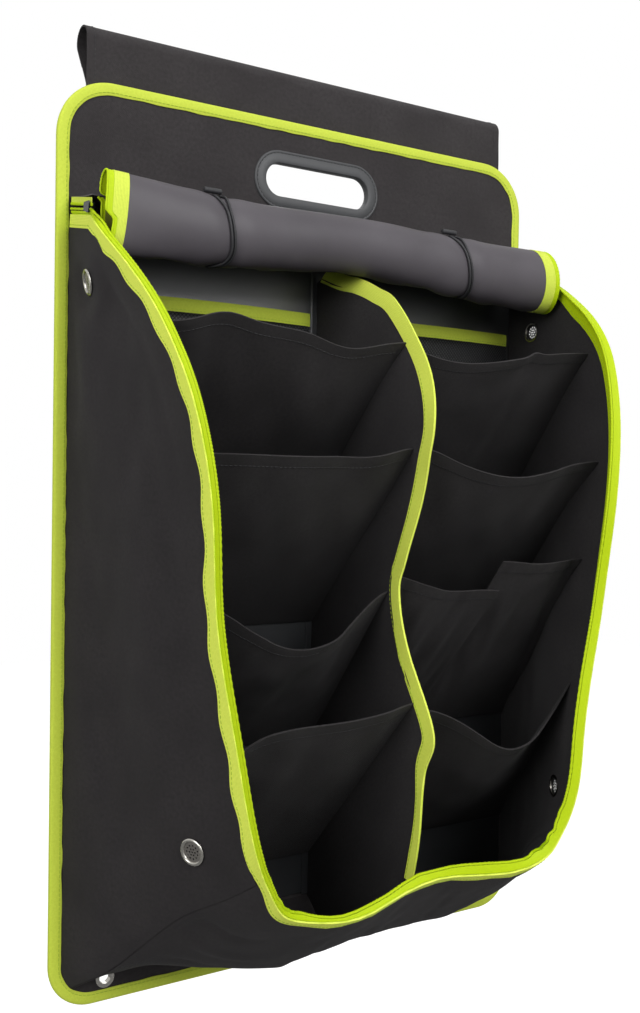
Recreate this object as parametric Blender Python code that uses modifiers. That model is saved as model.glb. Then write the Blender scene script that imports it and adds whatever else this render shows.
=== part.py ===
# Hanging tent organizer: a stiff back panel on a pole sleeve, and a soft box of pockets sewn to it.
# Metres, +Z up. The origin is the pole's axis at the middle of the sleeve, and the front faces -Y.
# A depth is measured forwards from the panel's front face, and a drop downwards from the origin.

import math

import bmesh
import bpy
import numpy as np
from mathutils import Matrix, Vector

# Cloth, and the gap left where one piece lies on another
clothThick = 0.0012
liningThick = 0.0008
tapeThick = 0.0010
meshThick = 0.0006
seatGap = 0.0003

# Pole sleeve
poleDiameter = 0.025
poleClearance = 0.0005
sleeveInset = 0.032
sleeveJoinDrop = 0.046
sleeveHemDrop = 0.070

# Back panel
panelWidth = 0.600
panelHeight = 0.920
panelDrop = 0.043
topRadius = 0.058
bottomRadius = 0.045
boardThick = 0.0022
bindingWidth = 0.0125
bindingThick = 0.0010

# Carry slot
slotWidth = 0.134
slotHeight = 0.0356
slotDrop = 0.1083
trimWidth = 0.014
trimProud = 0.0018
trimLip = 0.001

# Box: its front opening, its gussets and the zip
seamInset = 0.0010
seamClear = 0.0010
openingDrop = 0.178
openingHeight = 0.652
boxDepth = 0.213
zipBandWidth = 0.013
zipBandThick = 0.0018
zipTapeWidth = 0.007
closedTapeWidth = 0.003
coilDiameter = 0.003
fanDrop = 0.550
bottomRise = 0.043
bottomSag = 0.050
liningTopDrop = 0.176

# Opening outline, top to bottom: share of the box depth, share of the opening height, inset from the seam
openingOutline = (
    (0.023, 0.001, 0.0000),
    (0.263, 0.017, 0.0000),
    (0.404, 0.032, 0.0020),
    (0.600, 0.073, 0.0065),
    (0.770, 0.118, 0.0135),
    (0.890, 0.178, 0.0185),
    (0.995, 0.285, 0.0305),
    (1.037, 0.415, 0.0448),
    (0.995, 0.586, 0.0565),
    (1.005, 0.755, 0.0765),
    (1.019, 0.885, 0.0935),
    (1.000, 0.962, 0.1165),
    (0.986, 0.998, 0.1565),
)
cornerPoint = 11
closedPoint = 1

# How the left shoulder hangs back and down: outline point, shares of the box depth and the opening height
leftSag = (
    (2, -0.039, 0.013),
    (3, -0.080, 0.011),
    (4, -0.080, 0.016),
    (5, -0.040, 0.012),
)
gussetLean = 0.060
lowerShare = 0.10
turnStretch = 1.2

# Centre divider: depth and drop of its front edge
dividerEdge = (
    (0.014, 0.200),
    (0.045, 0.212),
    (0.070, 0.2185),
    (0.100, 0.231),
    (0.133, 0.251),
    (0.190, 0.317),
    (0.208, 0.376),
    (0.190, 0.436),
    (0.166, 0.511),
    (0.157, 0.545),
    (0.174, 0.605),
    (0.211, 0.677),
    (0.198, 0.720),
    (0.192, 0.775),
    (0.181, 0.832),
)
dividerBindingWidth = 0.012
dividerBindingThick = 0.0020
dividerHead = 0.004
seamTapeHalf = 0.008

# Mesh pockets on the back wall
meshTopDrop = 0.264
meshBottomDrop = 0.450
meshBindingHeight = 0.014
meshBow = 0.011
meshInset = 0.0065

# Pockets: seam drop on the back wall, then depth and drop of the hem at the divider and at the gusset,
# how far the hem's middle sags, and the share of the width where it sags most
pocketSlope = 0.006
pocketClear = 0.0019
leftPockets = (
    (0.462, 0.155, 0.293, 0.150, 0.296, -0.004, 0.6),
    (0.590, 0.176, 0.400, 0.184, 0.412, 0.006, 0.4),
    (0.720, 0.140, 0.545, 0.180, 0.540, 0.052, 0.45),
    (0.850, 0.183, 0.652, 0.184, 0.688, -0.012, 0.7),
)
rightPockets = (
    (0.462, 0.150, 0.296, 0.148, 0.285, 0.016, 0.35),
    (0.590, 0.174, 0.398, 0.182, 0.408, 0.024, 0.5),
    (0.720, 0.143, 0.528, 0.160, 0.548, 0.008, 0.5),
    (0.720, 0.160, 0.517, 0.168, 0.516, 0.004, 0.5),
    (0.850, 0.183, 0.660, 0.172, 0.652, 0.068, 0.72),
)
splitShare = 0.45

# Eyelets: along the gusset the depth and drop of each vent, and the plain ones near the panel's corners
ventRadius = 0.013
ventBarrelRadius = 0.009
ventFlange = 0.0012
ventWall = 0.0010
ventHoleRadius = 0.0015
ventRows = ((6, 0.0048),)
ventTop = (0.045, 0.250)
ventLow = (0.150, 0.770)
cornerEyeletRadius = 0.010
cornerEyeletBore = 0.006
cornerEyeletInset = 0.059
cornerEyeletRise = 0.024

# Front cover, rolled up and tied
coverThick = 0.0010
coverInset = 0.0225
coverTaper = 0.10
coverSquare = 0.08
coverTapeWidth = 0.020
rollPitch = 0.0030
rollTurns = 4.4
rollSteps = 16
hingeDepth = 0.057
hingeDrop = 0.170
roofDrop = 0.161
roofTapeHeight = 0.0050
hingeGap = 0.0007
hingeTurn = 0.042

# Roll's section where the ties draw it in and between
# Share of the panel's half width, drop, half height, half depth
rollSections = (
    (-0.950, 0.1860, 0.0415, 0.0125),
    (-0.512, 0.1921, 0.0345, 0.0235),
    (0.000, 0.1850, 0.0306, 0.0225),
    (0.483, 0.1927, 0.0342, 0.0253),
    (0.915, 0.1960, 0.0376, 0.0290),
)

# Where each end of the roll stands out over the rim: how far, and the drop it ends at, behind and in front
rollEars = {"left": (0.0215, 0.172, 0.196), "right": (0.0095, 0.184, 0.190)}
earDepths = (0.060, 0.072)
earFade = 0.006
earTurns = (0.85, 1.15)

# Ties of elastic cord with a toggle each
tieDiameter = 0.0026
tieStrandGap = 0.0034
tieBightGap = 0.0064
tieTailDiameter = 0.0022
toggleDiameter = 0.0055
toggleLength = 0.019
toggleNeck = 0.0022
tieStart = 0.22
tieTurns = 0.80
tieSteps = 28
tailGap = 0.18
toggleShift = 0.006
tieStations = (0.0, 0.22, 0.52, 1.0)

# Sideways run of each tie from its root, under the roll, at its front and at the toggle
tieRuns = {"left": (-0.014, -0.014, 0.0, -0.012), "right": (-0.004, -0.002, 0.0, -0.018)}

# Zip sliders and their pulls
sliderLength = 0.013
sliderWidth = 0.0110
sliderWing = 0.0012
sliderBridge = 0.0014
sliderCrown = 0.002
sliderPost = 0.004
chainGap = 0.0018
sliderTail = 0.72
bailDiameter = 0.0012
bailReach = 0.0042
bailRise = 0.0036
pullLength = 0.024
pullWidth = 0.0056
pullThick = 0.0014
pullWall = 0.0012

# Levels through the panel, from its rear to its front
tunnelRadius = poleDiameter / 2 + poleClearance
sleeveFront = -(tunnelRadius + clothThick)
bindingRear = sleeveFront - seatGap
boardRear = bindingRear - bindingThick - seatGap
boardFront = boardRear - boardThick
fabricRear = boardFront - seatGap
panelFace = fabricRear - clothThick
bindingFront = panelFace - seatGap - bindingThick
panelHalf = panelWidth / 2
panelTop = -panelDrop
panelBottom = panelTop - panelHeight
layerInset = bindingThick + seatGap
seamHalf = panelHalf - bindingWidth - seamInset
sleeveHalf = panelHalf - sleeveInset
meshOuterHalf = seamHalf - meshInset
coverHalf = seamHalf - coverInset
cornerEyeletSide = panelHalf - cornerEyeletInset
cornerEyeletHeight = panelBottom + cornerEyeletRise
liningFront = seatGap + liningThick
wallFront = liningFront + seatGap
lowerCorner = (panelHalf - bottomRadius, panelBottom + bottomRadius)

parts = bpy.data.collections.new("tent_organizer")
cutters = bpy.data.collections.new("cutters")
collections = (parts, cutters)


def clearScene():
    for thing in list(bpy.data.objects):
        bpy.data.objects.remove(thing, do_unlink=True)
    for group in collections:
        bpy.context.scene.collection.children.link(group)


def finishOf(name, colour, roughness, metallic=0.0):
    shown = bpy.data.materials.get(name)
    if shown:
        return shown
    shown = bpy.data.materials.new(name)
    shown.use_nodes = True
    surface = shown.node_tree.nodes["Principled BSDF"]
    surface.inputs["Base Color"].default_value = (*colour, 1.0)
    surface.inputs["Roughness"].default_value = roughness
    surface.inputs["Metallic"].default_value = metallic
    return shown


charcoal = ("charcoal woven polyester", (0.030, 0.029, 0.029), 0.85)
coated = ("coated lining", (0.035, 0.037, 0.040), 0.35)
greyCoat = ("grey coating", (0.130, 0.130, 0.145), 0.45)
lime = ("lime binding tape", (0.450, 0.640, 0.050), 0.75)
brightLime = ("bright lime zip tape", (0.480, 0.700, 0.000), 0.65)
rubber = ("dark grey rubber", (0.070, 0.070, 0.075), 0.55)
blackMesh = ("black mesh", (0.012, 0.012, 0.012), 0.80)
blackCord = ("black elastic cord", (0.012, 0.012, 0.014), 0.65)
nickel = ("nickel plate", (0.610, 0.595, 0.565), 0.32, 1.0)
darkMetal = ("black painted zinc", (0.040, 0.042, 0.050), 0.40, 0.8)
board = ("fibreboard", (0.200, 0.150, 0.090), 0.90)


def dress(piece, finish):
    piece.data.materials.append(finishOf(*finish))
    return piece


def link(name, data, group=parts):
    piece = bpy.data.objects.new(name, data)
    group.objects.link(piece)
    if group is cutters:
        piece.hide_render = True
        piece.display_type = "WIRE"
    return piece


def at(x, depth, height):
    """World point from a depth in front of the panel's face."""
    return np.stack(np.broadcast_arrays(x, panelFace - depth, height), -1)


def throughPoints(points, steps):
    """Catmull-Rom curve through points, with steps stretches between each two."""
    points = np.asarray(points, float)
    padded = np.vstack([2 * points[0] - points[1], points, 2 * points[-1] - points[-2]])
    share = np.linspace(0, 1, steps, endpoint=False)[:, None]
    runs = []
    for a, b, c, d in zip(padded, padded[1:], padded[2:], padded[3:]):
        bend = 2 * a - 5 * b + 4 * c - d
        twist = -a + 3 * b - 3 * c + d
        runs.append(0.5 * (2 * b + (c - a) * share + bend * share**2 + twist * share**3))
    return np.vstack(runs + [points[-1:]])


def unit(vectors):
    return vectors / np.linalg.norm(vectors, axis=-1, keepdims=True)


def evenly(points, count, trim):
    """The same line with count points at equal spacing, shorter by trim at each end."""
    reach = np.r_[0, np.cumsum(np.linalg.norm(np.diff(points, axis=0), axis=1))]
    wanted = np.linspace(trim, reach[-1] - trim, count)
    return np.stack([np.interp(wanted, reach, line) for line in points.T], -1)


def roundedOutline(inset, ceiling=None, steps=8):
    """Panel outline moved inwards by inset, anticlockwise from the lower right, cut level at ceiling."""
    corners = (
        (lowerCorner[0], lowerCorner[1], bottomRadius - inset, -90),
        (panelHalf - topRadius, panelTop - topRadius, topRadius - inset, 0),
        (topRadius - panelHalf, panelTop - topRadius, topRadius - inset, 90),
        (-lowerCorner[0], lowerCorner[1], bottomRadius - inset, 180),
    )
    points = []
    for x, z, radius, start in corners:
        for turn in np.radians(np.linspace(start, start + 90, steps + 1)):
            points.append((x + radius * math.cos(turn), z + radius * math.sin(turn)))
    if ceiling is None:
        return points
    kept = [point for point in points if point[1] < ceiling]
    radius = topRadius - inset
    rise = max(0.0, ceiling - (panelTop - topRadius))
    half = panelHalf - topRadius + math.sqrt(radius**2 - rise**2)
    right = [point for point in kept if point[0] > 0]
    left = [point for point in kept if point[0] < 0]
    return right + [(half, ceiling), (-half, ceiling)] + left


def stadium(width, height, x, z, steps=10):
    radius = height / 2
    turns = np.radians(np.linspace(-90, 90, steps + 1))
    right = [(x + width / 2 - radius + radius * math.cos(t), z + radius * math.sin(t)) for t in turns]
    left = [(2 * x - px, 2 * z - pz) for px, pz in right]
    return right + left


def circle(radius, x, z, steps=24):
    turns = np.arange(steps) * math.tau / steps
    return [(x + radius * math.cos(t), z + radius * math.sin(t)) for t in turns]


def flatPlate(name, outlines, thickness, group=parts):
    """Plate of a flat outline with holes, lying in its own XY plane about z = 0."""
    curve = bpy.data.curves.new(name, "CURVE")
    curve.dimensions = "2D"
    curve.fill_mode = "BOTH"
    curve.extrude = thickness / 2
    for outline in outlines:
        spline = curve.splines.new("POLY")
        spline.points.add(len(outline) - 1)
        for point, (x, y) in zip(spline.points, outline):
            point.co = (x, y, 0, 1)
        spline.use_cyclic_u = True
    return link(name, curve, group)


def panelPlate(name, outlines, rear, front):
    """Plate that stands in the XZ plane between two levels of Y."""
    plate = flatPlate(name, outlines, rear - front)
    plate.rotation_euler = (math.pi / 2, 0, 0)
    plate.location = (0, (rear + front) / 2, 0)
    return plate


def meshed(piece, group=None):
    """The piece as a mesh with welded caps, so that a Boolean can take it."""
    bpy.context.view_layer.update()
    graph = bpy.context.evaluated_depsgraph_get()
    mesh = bpy.data.meshes.new_from_object(piece.evaluated_get(graph))
    work = bmesh.new()
    work.from_mesh(mesh)
    bmesh.ops.remove_doubles(work, verts=work.verts, dist=1e-6)
    work.to_mesh(mesh)
    work.free()
    name = piece.name
    place = piece.matrix_world.copy()
    bpy.data.objects.remove(piece, do_unlink=True)
    fresh = link(name, mesh, group or parts)
    fresh.matrix_world = place
    return fresh


def boolean(piece, other, operation):
    change = piece.modifiers.new(other.name, "BOOLEAN")
    change.operation = operation
    change.solver = "EXACT"
    change.object = other
    return piece


def gridMesh(name, grid):
    """Open surface over a grid of points."""
    rows, columns = grid.shape[:2]
    work = bmesh.new()
    verts = [work.verts.new(point) for point in grid.reshape(-1, 3)]
    for row in range(rows - 1):
        for column in range(columns - 1):
            corner = row * columns + column
            ring = (corner, corner + 1, corner + columns + 1, corner + columns)
            work.faces.new([verts[index] for index in ring])
    mesh = bpy.data.meshes.new(name)
    work.to_mesh(mesh)
    work.free()
    return mesh


def sheet(name, grid, thickness, finish):
    """Cloth: a surface over a grid of points, given its thickness to both sides."""
    piece = link(name, gridMesh(name, np.asarray(grid)))
    wall = piece.modifiers.new("cloth", "SOLIDIFY")
    wall.thickness = thickness
    wall.offset = 0
    wall.use_even_offset = True
    return dress(piece, finish)


def tube(name, points, diameter, finish, resolution=1):
    curve = bpy.data.curves.new(name, "CURVE")
    curve.dimensions = "3D"
    curve.bevel_depth = diameter / 2
    curve.bevel_resolution = resolution
    curve.use_fill_caps = True
    spline = curve.splines.new("POLY")
    spline.points.add(len(points) - 1)
    for point, co in zip(spline.points, points):
        point.co = (*co, 1)
    return dress(link(name, curve), finish)


def turned(name, profile, finish, steps=20, group=parts):
    """Closed profile of (radius, height) points turned about its own Z axis."""
    work = bmesh.new()
    verts = [work.verts.new((radius, 0, height)) for radius, height in profile]
    for first, second in zip(verts, verts[1:] + verts[:1]):
        work.edges.new((first, second))
    mesh = bpy.data.meshes.new(name)
    work.to_mesh(mesh)
    work.free()
    piece = link(name, mesh, group)
    screw = piece.modifiers.new("turn", "SCREW")
    screw.steps = screw.render_steps = steps
    screw.use_merge_vertices = True
    screw.merge_threshold = 0.00001
    screw.use_smooth_shade = True
    return dress(piece, finish)


def facing(direction, location):
    """Matrix that turns +Z along direction at location."""
    turn = Vector(direction).to_track_quat("Z", "Y").to_matrix().to_4x4()
    return Matrix.Translation(Vector(location)) @ turn


def hang(pieces, name, location):
    """Parents pieces to an empty on their joint's axis."""
    pivot = link(name, None)
    pivot.location = location
    bpy.context.view_layer.update()
    for piece in pieces:
        piece.parent = pivot
        piece.matrix_parent_inverse = pivot.matrix_world.inverted()
    return pivot


# The opening's outline and the surfaces that hang from it


def openingSide(side):
    """One half of the opening's outline: the points down the side, right or left."""
    shape = np.array(openingOutline)
    if side < 0:
        for point, back, down in leftSag:
            shape[point, :2] += (back, down)
    return at(
        side * (seamHalf - shape[:, 2]),
        shape[:, 0] * boxDepth,
        -openingDrop - shape[:, 1] * openingHeight,
    )


outlineSteps = 4
sideCount = cornerPoint * outlineSteps + 1


def openingLine():
    """The whole outline from the right top, down, along the bottom and up to the left top. Its first
    and last stretch, where the zip stays closed, are straight."""
    right, left = openingSide(1), openingSide(-1)
    share = np.linspace(0, 1, outlineSteps, endpoint=False)[:, None]
    closed = right[0] * (1 - share) + right[closedPoint] * share
    curve = throughPoints(np.vstack([right[closedPoint:], left[closedPoint:][::-1]]), outlineSteps)
    return np.vstack([closed, curve, closed[::-1] * (-1, 1, 1)])


def openingFrame():
    """Points, forward tangents, directions into the gusset and directions into the opening."""
    line = openingLine()
    tangent = unit(np.gradient(line, axis=0))
    mirror = np.sign(line[:, 0])
    lowest = panelBottom + bottomRadius / 2
    beside = at(mirror * seamHalf, 0.0, np.maximum(line[:, 2] - gussetLean, lowest))
    below = at(line[:, 0], boxDepth / 2, lowest)
    drop = (-openingDrop - line[:, 2]) / openingHeight
    share = np.clip((drop - 1 + lowerShare) / lowerShare, 0, 1)[:, None]
    anchor = beside * (1 - share) + below * share
    back = anchor - line
    back = unit(back - (back * tangent).sum(1, keepdims=True) * tangent)
    inward = unit(np.cross(back, tangent))
    return line, tangent, back, inward


line, tangent, back, inward = openingFrame()
gussetEdge = line + back * (zipBandWidth + seamClear)


def innerEdgeHalf(height, inset):
    """Half width of the panel's outline moved in by inset, down to the lower corners."""
    down = np.clip(lowerCorner[1] - height, 0, None)
    radius = bottomRadius - inset
    return lowerCorner[0] + np.sqrt(np.clip(radius**2 - down**2, 0, None))


cornerInset = bindingWidth + seamInset
tipRadius = (bottomRadius - cornerInset) * math.sqrt(0.5)
tipHeight = lowerCorner[1] - tipRadius
fanTop = -fanDrop

# Front edges of the two gussets, both as if on the right
gussetSides = {1: gussetEdge[:sideCount], -1: gussetEdge[::-1][:sideCount] * (-1, 1, 1)}


def seamOf(edge):
    """A gusset's seam on the panel, point by point beside its front edge, fanned into the corner."""
    fanShare = (tipHeight - fanTop) / (edge[-1, 2] - fanTop)
    height = np.where(edge[:, 2] > fanTop, edge[:, 2], fanTop + (edge[:, 2] - fanTop) * fanShare)
    return at(innerEdgeHalf(height, cornerInset), seamClear, height)


seamLines = {side: seamOf(edge) for side, edge in gussetSides.items()}


def gussetX(depth, height, side):
    """Half width to a gusset's middle surface at a depth and a height, by halving along its length."""
    depth, height = np.broadcast_arrays(np.asarray(depth, float), np.asarray(height, float))
    place = np.arange(sideCount)
    y = panelFace - depth
    low = np.zeros(depth.shape)
    high = np.full(depth.shape, sideCount - 1.0)

    def ruled(where):
        rear = [np.interp(where, place, column) for column in seamLines[side].T]
        front = [np.interp(where, place, column) for column in gussetSides[side].T]
        share = np.clip((rear[1] - y) / np.maximum(rear[1] - front[1], 1e-6), 0, 1)
        return rear[2] + (front[2] - rear[2]) * share, rear[0] + (front[0] - rear[0]) * share

    for _ in range(40):
        middle = (low + high) / 2
        above = ruled(middle)[0] > height
        low = np.where(above, middle, low)
        high = np.where(above, high, middle)
    return ruled((low + high) / 2)[1]


def ruledGrid(rear, front, columns):
    share = np.linspace(0, 1, columns)[None, :, None]
    return rear[:, None] * (1 - share) + front[:, None] * share


bottomHalf = (panelHalf - bottomRadius) + tipRadius - clothThick - seatGap
bottomStart = tipHeight - clothThick - 2 * seatGap


def bottomSeam(x):
    """Arch of the bottom gusset's seam on the panel, clear of the corner eyelets."""
    return bottomStart + bottomRise * (1 - np.abs(x / bottomHalf) ** 5)


def bottomGrid(rows=21, columns=8):
    """Bottom gusset: from its arched seam on the panel, sagging, up to the opening's lower edge."""
    lower = slice(sideCount - 1, len(line) - sideCount + 1)
    front = evenly(gussetEdge[lower] + back[lower] * seatGap, rows, clothThick + 2 * seatGap)
    across = np.linspace(1, -1, rows)
    x = across * bottomHalf
    rear = at(x, seamClear, bottomSeam(x))
    grid = ruledGrid(rear, front, columns)
    share = np.linspace(0, 1, columns)[None, :]
    belly = np.sin(np.pi * share**0.75) * (1 - np.abs(across[:, None]) ** 3)
    grid[..., 2] -= bottomSag * belly
    return grid


# Panel


def cornerCircles(radius):
    return [circle(radius, side * cornerEyeletSide, cornerEyeletHeight) for side in (-1, 1)]


def makePanel():
    slot = stadium(slotWidth + 2 * trimLip, slotHeight + 2 * trimLip, 0, -slotDrop)
    holes = cornerCircles(cornerEyeletBore + ventWall + seatGap)
    lines = [roundedOutline(layerInset), slot, *holes]
    dress(panelPlate("front_panel_fabric", lines, fabricRear, panelFace), charcoal)
    dress(panelPlate("stiffener_board", lines, boardRear, boardFront), board)
    liningRear = boardRear + seatGap + clothThick
    around = 2 * (trimWidth + 2 * seatGap)
    trimHole = stadium(slotWidth + around, slotHeight + around, 0, -slotDrop, 14)
    washerHoles = cornerCircles(cornerEyeletRadius + seatGap)
    outline = roundedOutline(bindingWidth + seatGap, -sleeveHemDrop - seatGap)
    lining = panelPlate("rear_lining", [outline, trimHole, *washerHoles], liningRear, boardRear + seatGap)
    dress(lining, charcoal)


def makeEdgeBinding():
    """Tape folded round the panel's edge: a U section carried round the outline."""
    path = bpy.data.curves.new("edge_binding", "CURVE")
    path.dimensions = "2D"
    spline = path.splines.new("POLY")
    outline = roundedOutline(0)
    spline.points.add(len(outline) - 1)
    for point, (x, y) in zip(spline.points, outline):
        point.co = (x, y, 0, 1)
    spline.use_cyclic_u = True
    half = (bindingRear - bindingFront) / 2
    inside = half - bindingThick
    section = (
        (0, half),
        (bindingWidth, half),
        (bindingWidth, inside),
        (bindingThick, inside),
        (bindingThick, -inside),
        (bindingWidth, -inside),
        (bindingWidth, -half),
        (0, -half),
    )
    profile = bpy.data.curves.new("binding_section", "CURVE")
    profile.dimensions = "2D"
    line = profile.splines.new("POLY")
    line.points.add(len(section) - 1)
    for point, (x, y) in zip(line.points, section):
        point.co = (x, y, 0, 1)
    line.use_cyclic_u = True
    path.bevel_mode = "OBJECT"
    path.bevel_object = link("binding_section", profile, cutters)
    binding = link("edge_binding", path)
    binding.rotation_euler = (math.pi / 2, 0, 0)
    binding.location = (0, (bindingRear + bindingFront) / 2, 0)
    dress(binding, lime)


def makeHandleTrim():
    inner = stadium(slotWidth, slotHeight, 0, -slotDrop)
    outer = stadium(slotWidth + 2 * trimWidth, slotHeight + 2 * trimWidth, 0, -slotDrop, 14)
    front = panelFace - seatGap
    dress(panelPlate("handle_trim_front", [outer, inner], front, front - trimProud), rubber)
    rear = boardRear + seatGap
    dress(panelPlate("handle_trim_rear", [outer, inner], rear + clothThick + trimProud, rear), rubber)


def tangentFrom(point, radius):
    """Angle where the line from a point below meets a circle about the origin, on its rear side."""
    reach = math.hypot(*point)
    return math.atan2(point[1], point[0]) + math.acos(radius / reach)


def makeSleeve():
    """Cloth folded over the pole: both layers join above the hem that is sewn to the panel."""
    outerRadius = tunnelRadius + clothThick
    join = -sleeveJoinDrop
    rearFoot = sleeveFront + 2 * clothThick + seatGap
    outerEnd = tangentFrom((rearFoot, join), outerRadius)
    innerFoot = -tunnelRadius + seatGap
    innerEnd = tangentFrom((innerFoot, join + clothThick), tunnelRadius)
    over = np.linspace(math.pi, outerEnd, 15)
    under = np.linspace(math.pi, innerEnd, 15)
    outer = [(sleeveFront, -sleeveHemDrop)]
    outer += [(outerRadius * math.cos(t), outerRadius * math.sin(t)) for t in over]
    outer += [(rearFoot, join), (rearFoot, -sleeveHemDrop)]
    inner = [(tunnelRadius * math.cos(t), tunnelRadius * math.sin(t)) for t in under]
    inner += [(innerFoot, join + clothThick)]
    sleeve = flatPlate("pole_sleeve", [outer, inner], 2 * sleeveHalf)
    sleeve.rotation_euler = (math.pi / 2, 0, math.pi / 2)
    dress(sleeve, charcoal)


def ring(inner, outer, low, high):
    """Section of a flat ring, in the order that faces outwards when turned."""
    return (inner, high), (outer, high), (outer, low), (inner, low)


def makeCornerEyelets():
    """Plain eyelets through fabric and board, each set over a washer on the rear."""
    bore = cornerEyeletBore
    wall = bore + ventWall
    rim = cornerEyeletRadius
    top = seatGap + ventFlange
    foot = panelFace - boardRear - clothThick
    profile = ((bore, top), (rim, top), (rim, seatGap), (wall, seatGap), (wall, foot), (bore, foot))
    for side, word in ((-1, "left"), (1, "right")):
        x = side * cornerEyeletSide
        eyelet = turned("corner_eyelet_" + word, profile, nickel)
        eyelet.matrix_world = facing((0, -1, 0), (x, panelFace, cornerEyeletHeight))
        washer = turned("corner_washer_" + word, ring(wall + seatGap, rim, 0, clothThick), nickel)
        washer.matrix_world = facing((0, 1, 0), (x, boardRear + seatGap, cornerEyeletHeight))


# Box


def makeGussets():
    for side, word in ((-1, "left"), (1, "right")):
        grid = ruledGrid(seamLines[side], gussetSides[side], 5) * (side, 1, 1)
        gusset = sheet("side_gusset_" + word, grid, clothThick, charcoal)
        for place, height in (ventTop, ventLow):
            makeVent(gusset, side, word, place, -height)
    sheet("bottom_gusset", bottomGrid(), clothThick, charcoal)


def gussetNormal(depth, height, side, step=0.004):
    """Outward normal of a gusset, from points a step away."""
    slopeY = (gussetX(depth - step, height, side) - gussetX(depth + step, height, side)) / (2 * step)
    slopeZ = (gussetX(depth, height + step, side) - gussetX(depth, height - step, side)) / (2 * step)
    return unit(np.array([1.0, -slopeY, -slopeZ])) * (side, 1, 1)


def makeVent(gusset, side, word, depth, height):
    """Metal vent eyelet with its perforated screen, through a hole in the gusset, and its washer inside."""
    name = "vent_eyelet_{}_{}".format(word, "top" if height > fanTop else "low")
    centre = at(side * gussetX(depth, height, side), depth, height)
    place = facing(gussetNormal(depth, height, side), centre)
    hole = ventBarrelRadius + seatGap
    cutter = turned(name + "_hole", ring(0, hole, -hole, hole), charcoal, group=cutters)
    cutter.matrix_world = place
    boolean(gusset, cutter, "DIFFERENCE")
    seat = clothThick / 2 + 2 * seatGap
    inner = ventBarrelRadius - ventWall
    back = -(seat + ventWall)
    top = seat + ventFlange
    barrel = ventBarrelRadius
    flange = [(inner, top), (ventRadius, top), (ventRadius, seat)]
    profile = flange + [(barrel, seat), (barrel, back), (inner, back)]
    eyelet = turned(name, profile, nickel)
    eyelet.matrix_world = place
    boolean(eyelet, ventScreen(name + "_screen", place @ Matrix.Translation((0, 0, seat))), "UNION")
    washer = turned(name.replace("eyelet", "washer"), ring(hole, ventRadius - ventWall, back, -seat), nickel)
    washer.matrix_world = place


def ventScreen(name, place):
    """Perforated disc that closes the eyelet's bore."""
    holes = [circle(ventHoleRadius, 0, 0, 6)]
    for count, radius in ventRows:
        for index in range(count):
            turn = index * math.tau / count
            holes.append(circle(ventHoleRadius, radius * math.cos(turn), radius * math.sin(turn), 6))
    rim = circle(ventBarrelRadius - ventWall / 2, 0, 0)
    screen = flatPlate(name, [rim, *holes], ventWall, cutters)
    screen.matrix_world = place
    return meshed(screen, cutters)


def openness():
    """0 along the closed stretch of the zip, 1 where the tape lies open round the front."""
    place = np.arange(len(line)) / outlineSteps
    fromEnd = np.minimum(place, (len(line) - 1) / outlineSteps - place)
    share = np.clip((fromEnd - closedPoint) / turnStretch, 0, 1)
    return share * share * (3 - 2 * share)


def coilLine():
    """Free edge of the zip tape: standing where the zip is closed, turned inwards where it is open."""
    turn = openness()[:, None] * math.pi / 2
    width = closedTapeWidth + (zipTapeWidth - closedTapeWidth) * openness()[:, None]
    direction = -back * np.cos(turn) + inward * np.sin(turn)
    return line + direction * width, direction


def makeRim():
    edge, direction = coilLine()
    inner = line + back * zipBandWidth
    band = ruledGrid(inner, line + back * (tapeThick / 2 + seatGap), 2)
    sheet("rim_binding", band, zipBandThick, lime)
    tape = ruledGrid(line, edge, 2)
    sheet("zip_tape", tape, tapeThick, brightLime)
    coil = edge + direction * (coilDiameter / 2 + seatGap)
    tube("zip_coil", coil, coilDiameter, brightLime)


def makeLining():
    """Coated back wall inside the box."""
    half = seamHalf - clothThick - 2 * seatGap
    xs = np.linspace(half, -half, 21)
    top = -liningTopDrop
    lower = [(x, z + 2 * clothThick) for x, z in zip(xs, bottomSeam(xs))]
    for index in (0, -1):
        lower[index] = (lower[index][0], lowerCorner[1])
    outline = lower + [(-half, top), (half, top)]
    dress(panelPlate("inner_back_lining", [outline], panelFace - seatGap, panelFace - liningFront), coated)


def dividerLine():
    points = np.array(dividerEdge)
    return throughPoints(at(0.0, points[:, 0], -points[:, 1]), 4)


def bottomTop(depth):
    """Height of the bottom gusset's upper face under the divider."""
    grid = bottomGrid()
    middle = grid[grid.shape[0] // 2]
    order = np.argsort(-middle[:, 1])
    return np.interp(depth, panelFace - middle[order, 1], middle[order, 2]) + clothThick / 2


def makeDivider():
    edge = dividerLine()
    along = unit(np.gradient(edge, axis=0))
    rearward = unit(np.cross((1, 0, 0), along))
    inner = edge + rearward * dividerBindingWidth
    sheet("divider_binding", ruledGrid(inner, edge, 2), dividerBindingThick, lime)
    rear = wallFront + liningThick + seatGap
    front = inner + rearward * seatGap
    depths = np.linspace(panelFace - front[-1, 1] - seatGap, rear, 10)
    foot = [(panelFace - d, bottomTop(d) + 3 * seatGap) for d in depths]
    outline = [(p[1], p[2]) for p in front if panelFace - p[1] > rear] + foot
    outline += [(panelFace - rear, front[0, 2] - dividerHead)]
    divider = flatPlate("centre_divider", [outline], clothThick)
    divider.rotation_euler = (math.pi / 2, 0, math.pi / 2)
    dress(divider, charcoal)
    top = dividerEdge[0][1] - dividerHead
    low = bottomTop(wallFront) + 6 * seatGap
    strip = [(-seamTapeHalf, low), (seamTapeHalf, low), (seamTapeHalf, -top), (-seamTapeHalf, -top)]
    face = panelFace - wallFront
    dress(panelPlate("divider_seam_tape", [strip], face, face - liningThick), coated)


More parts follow.
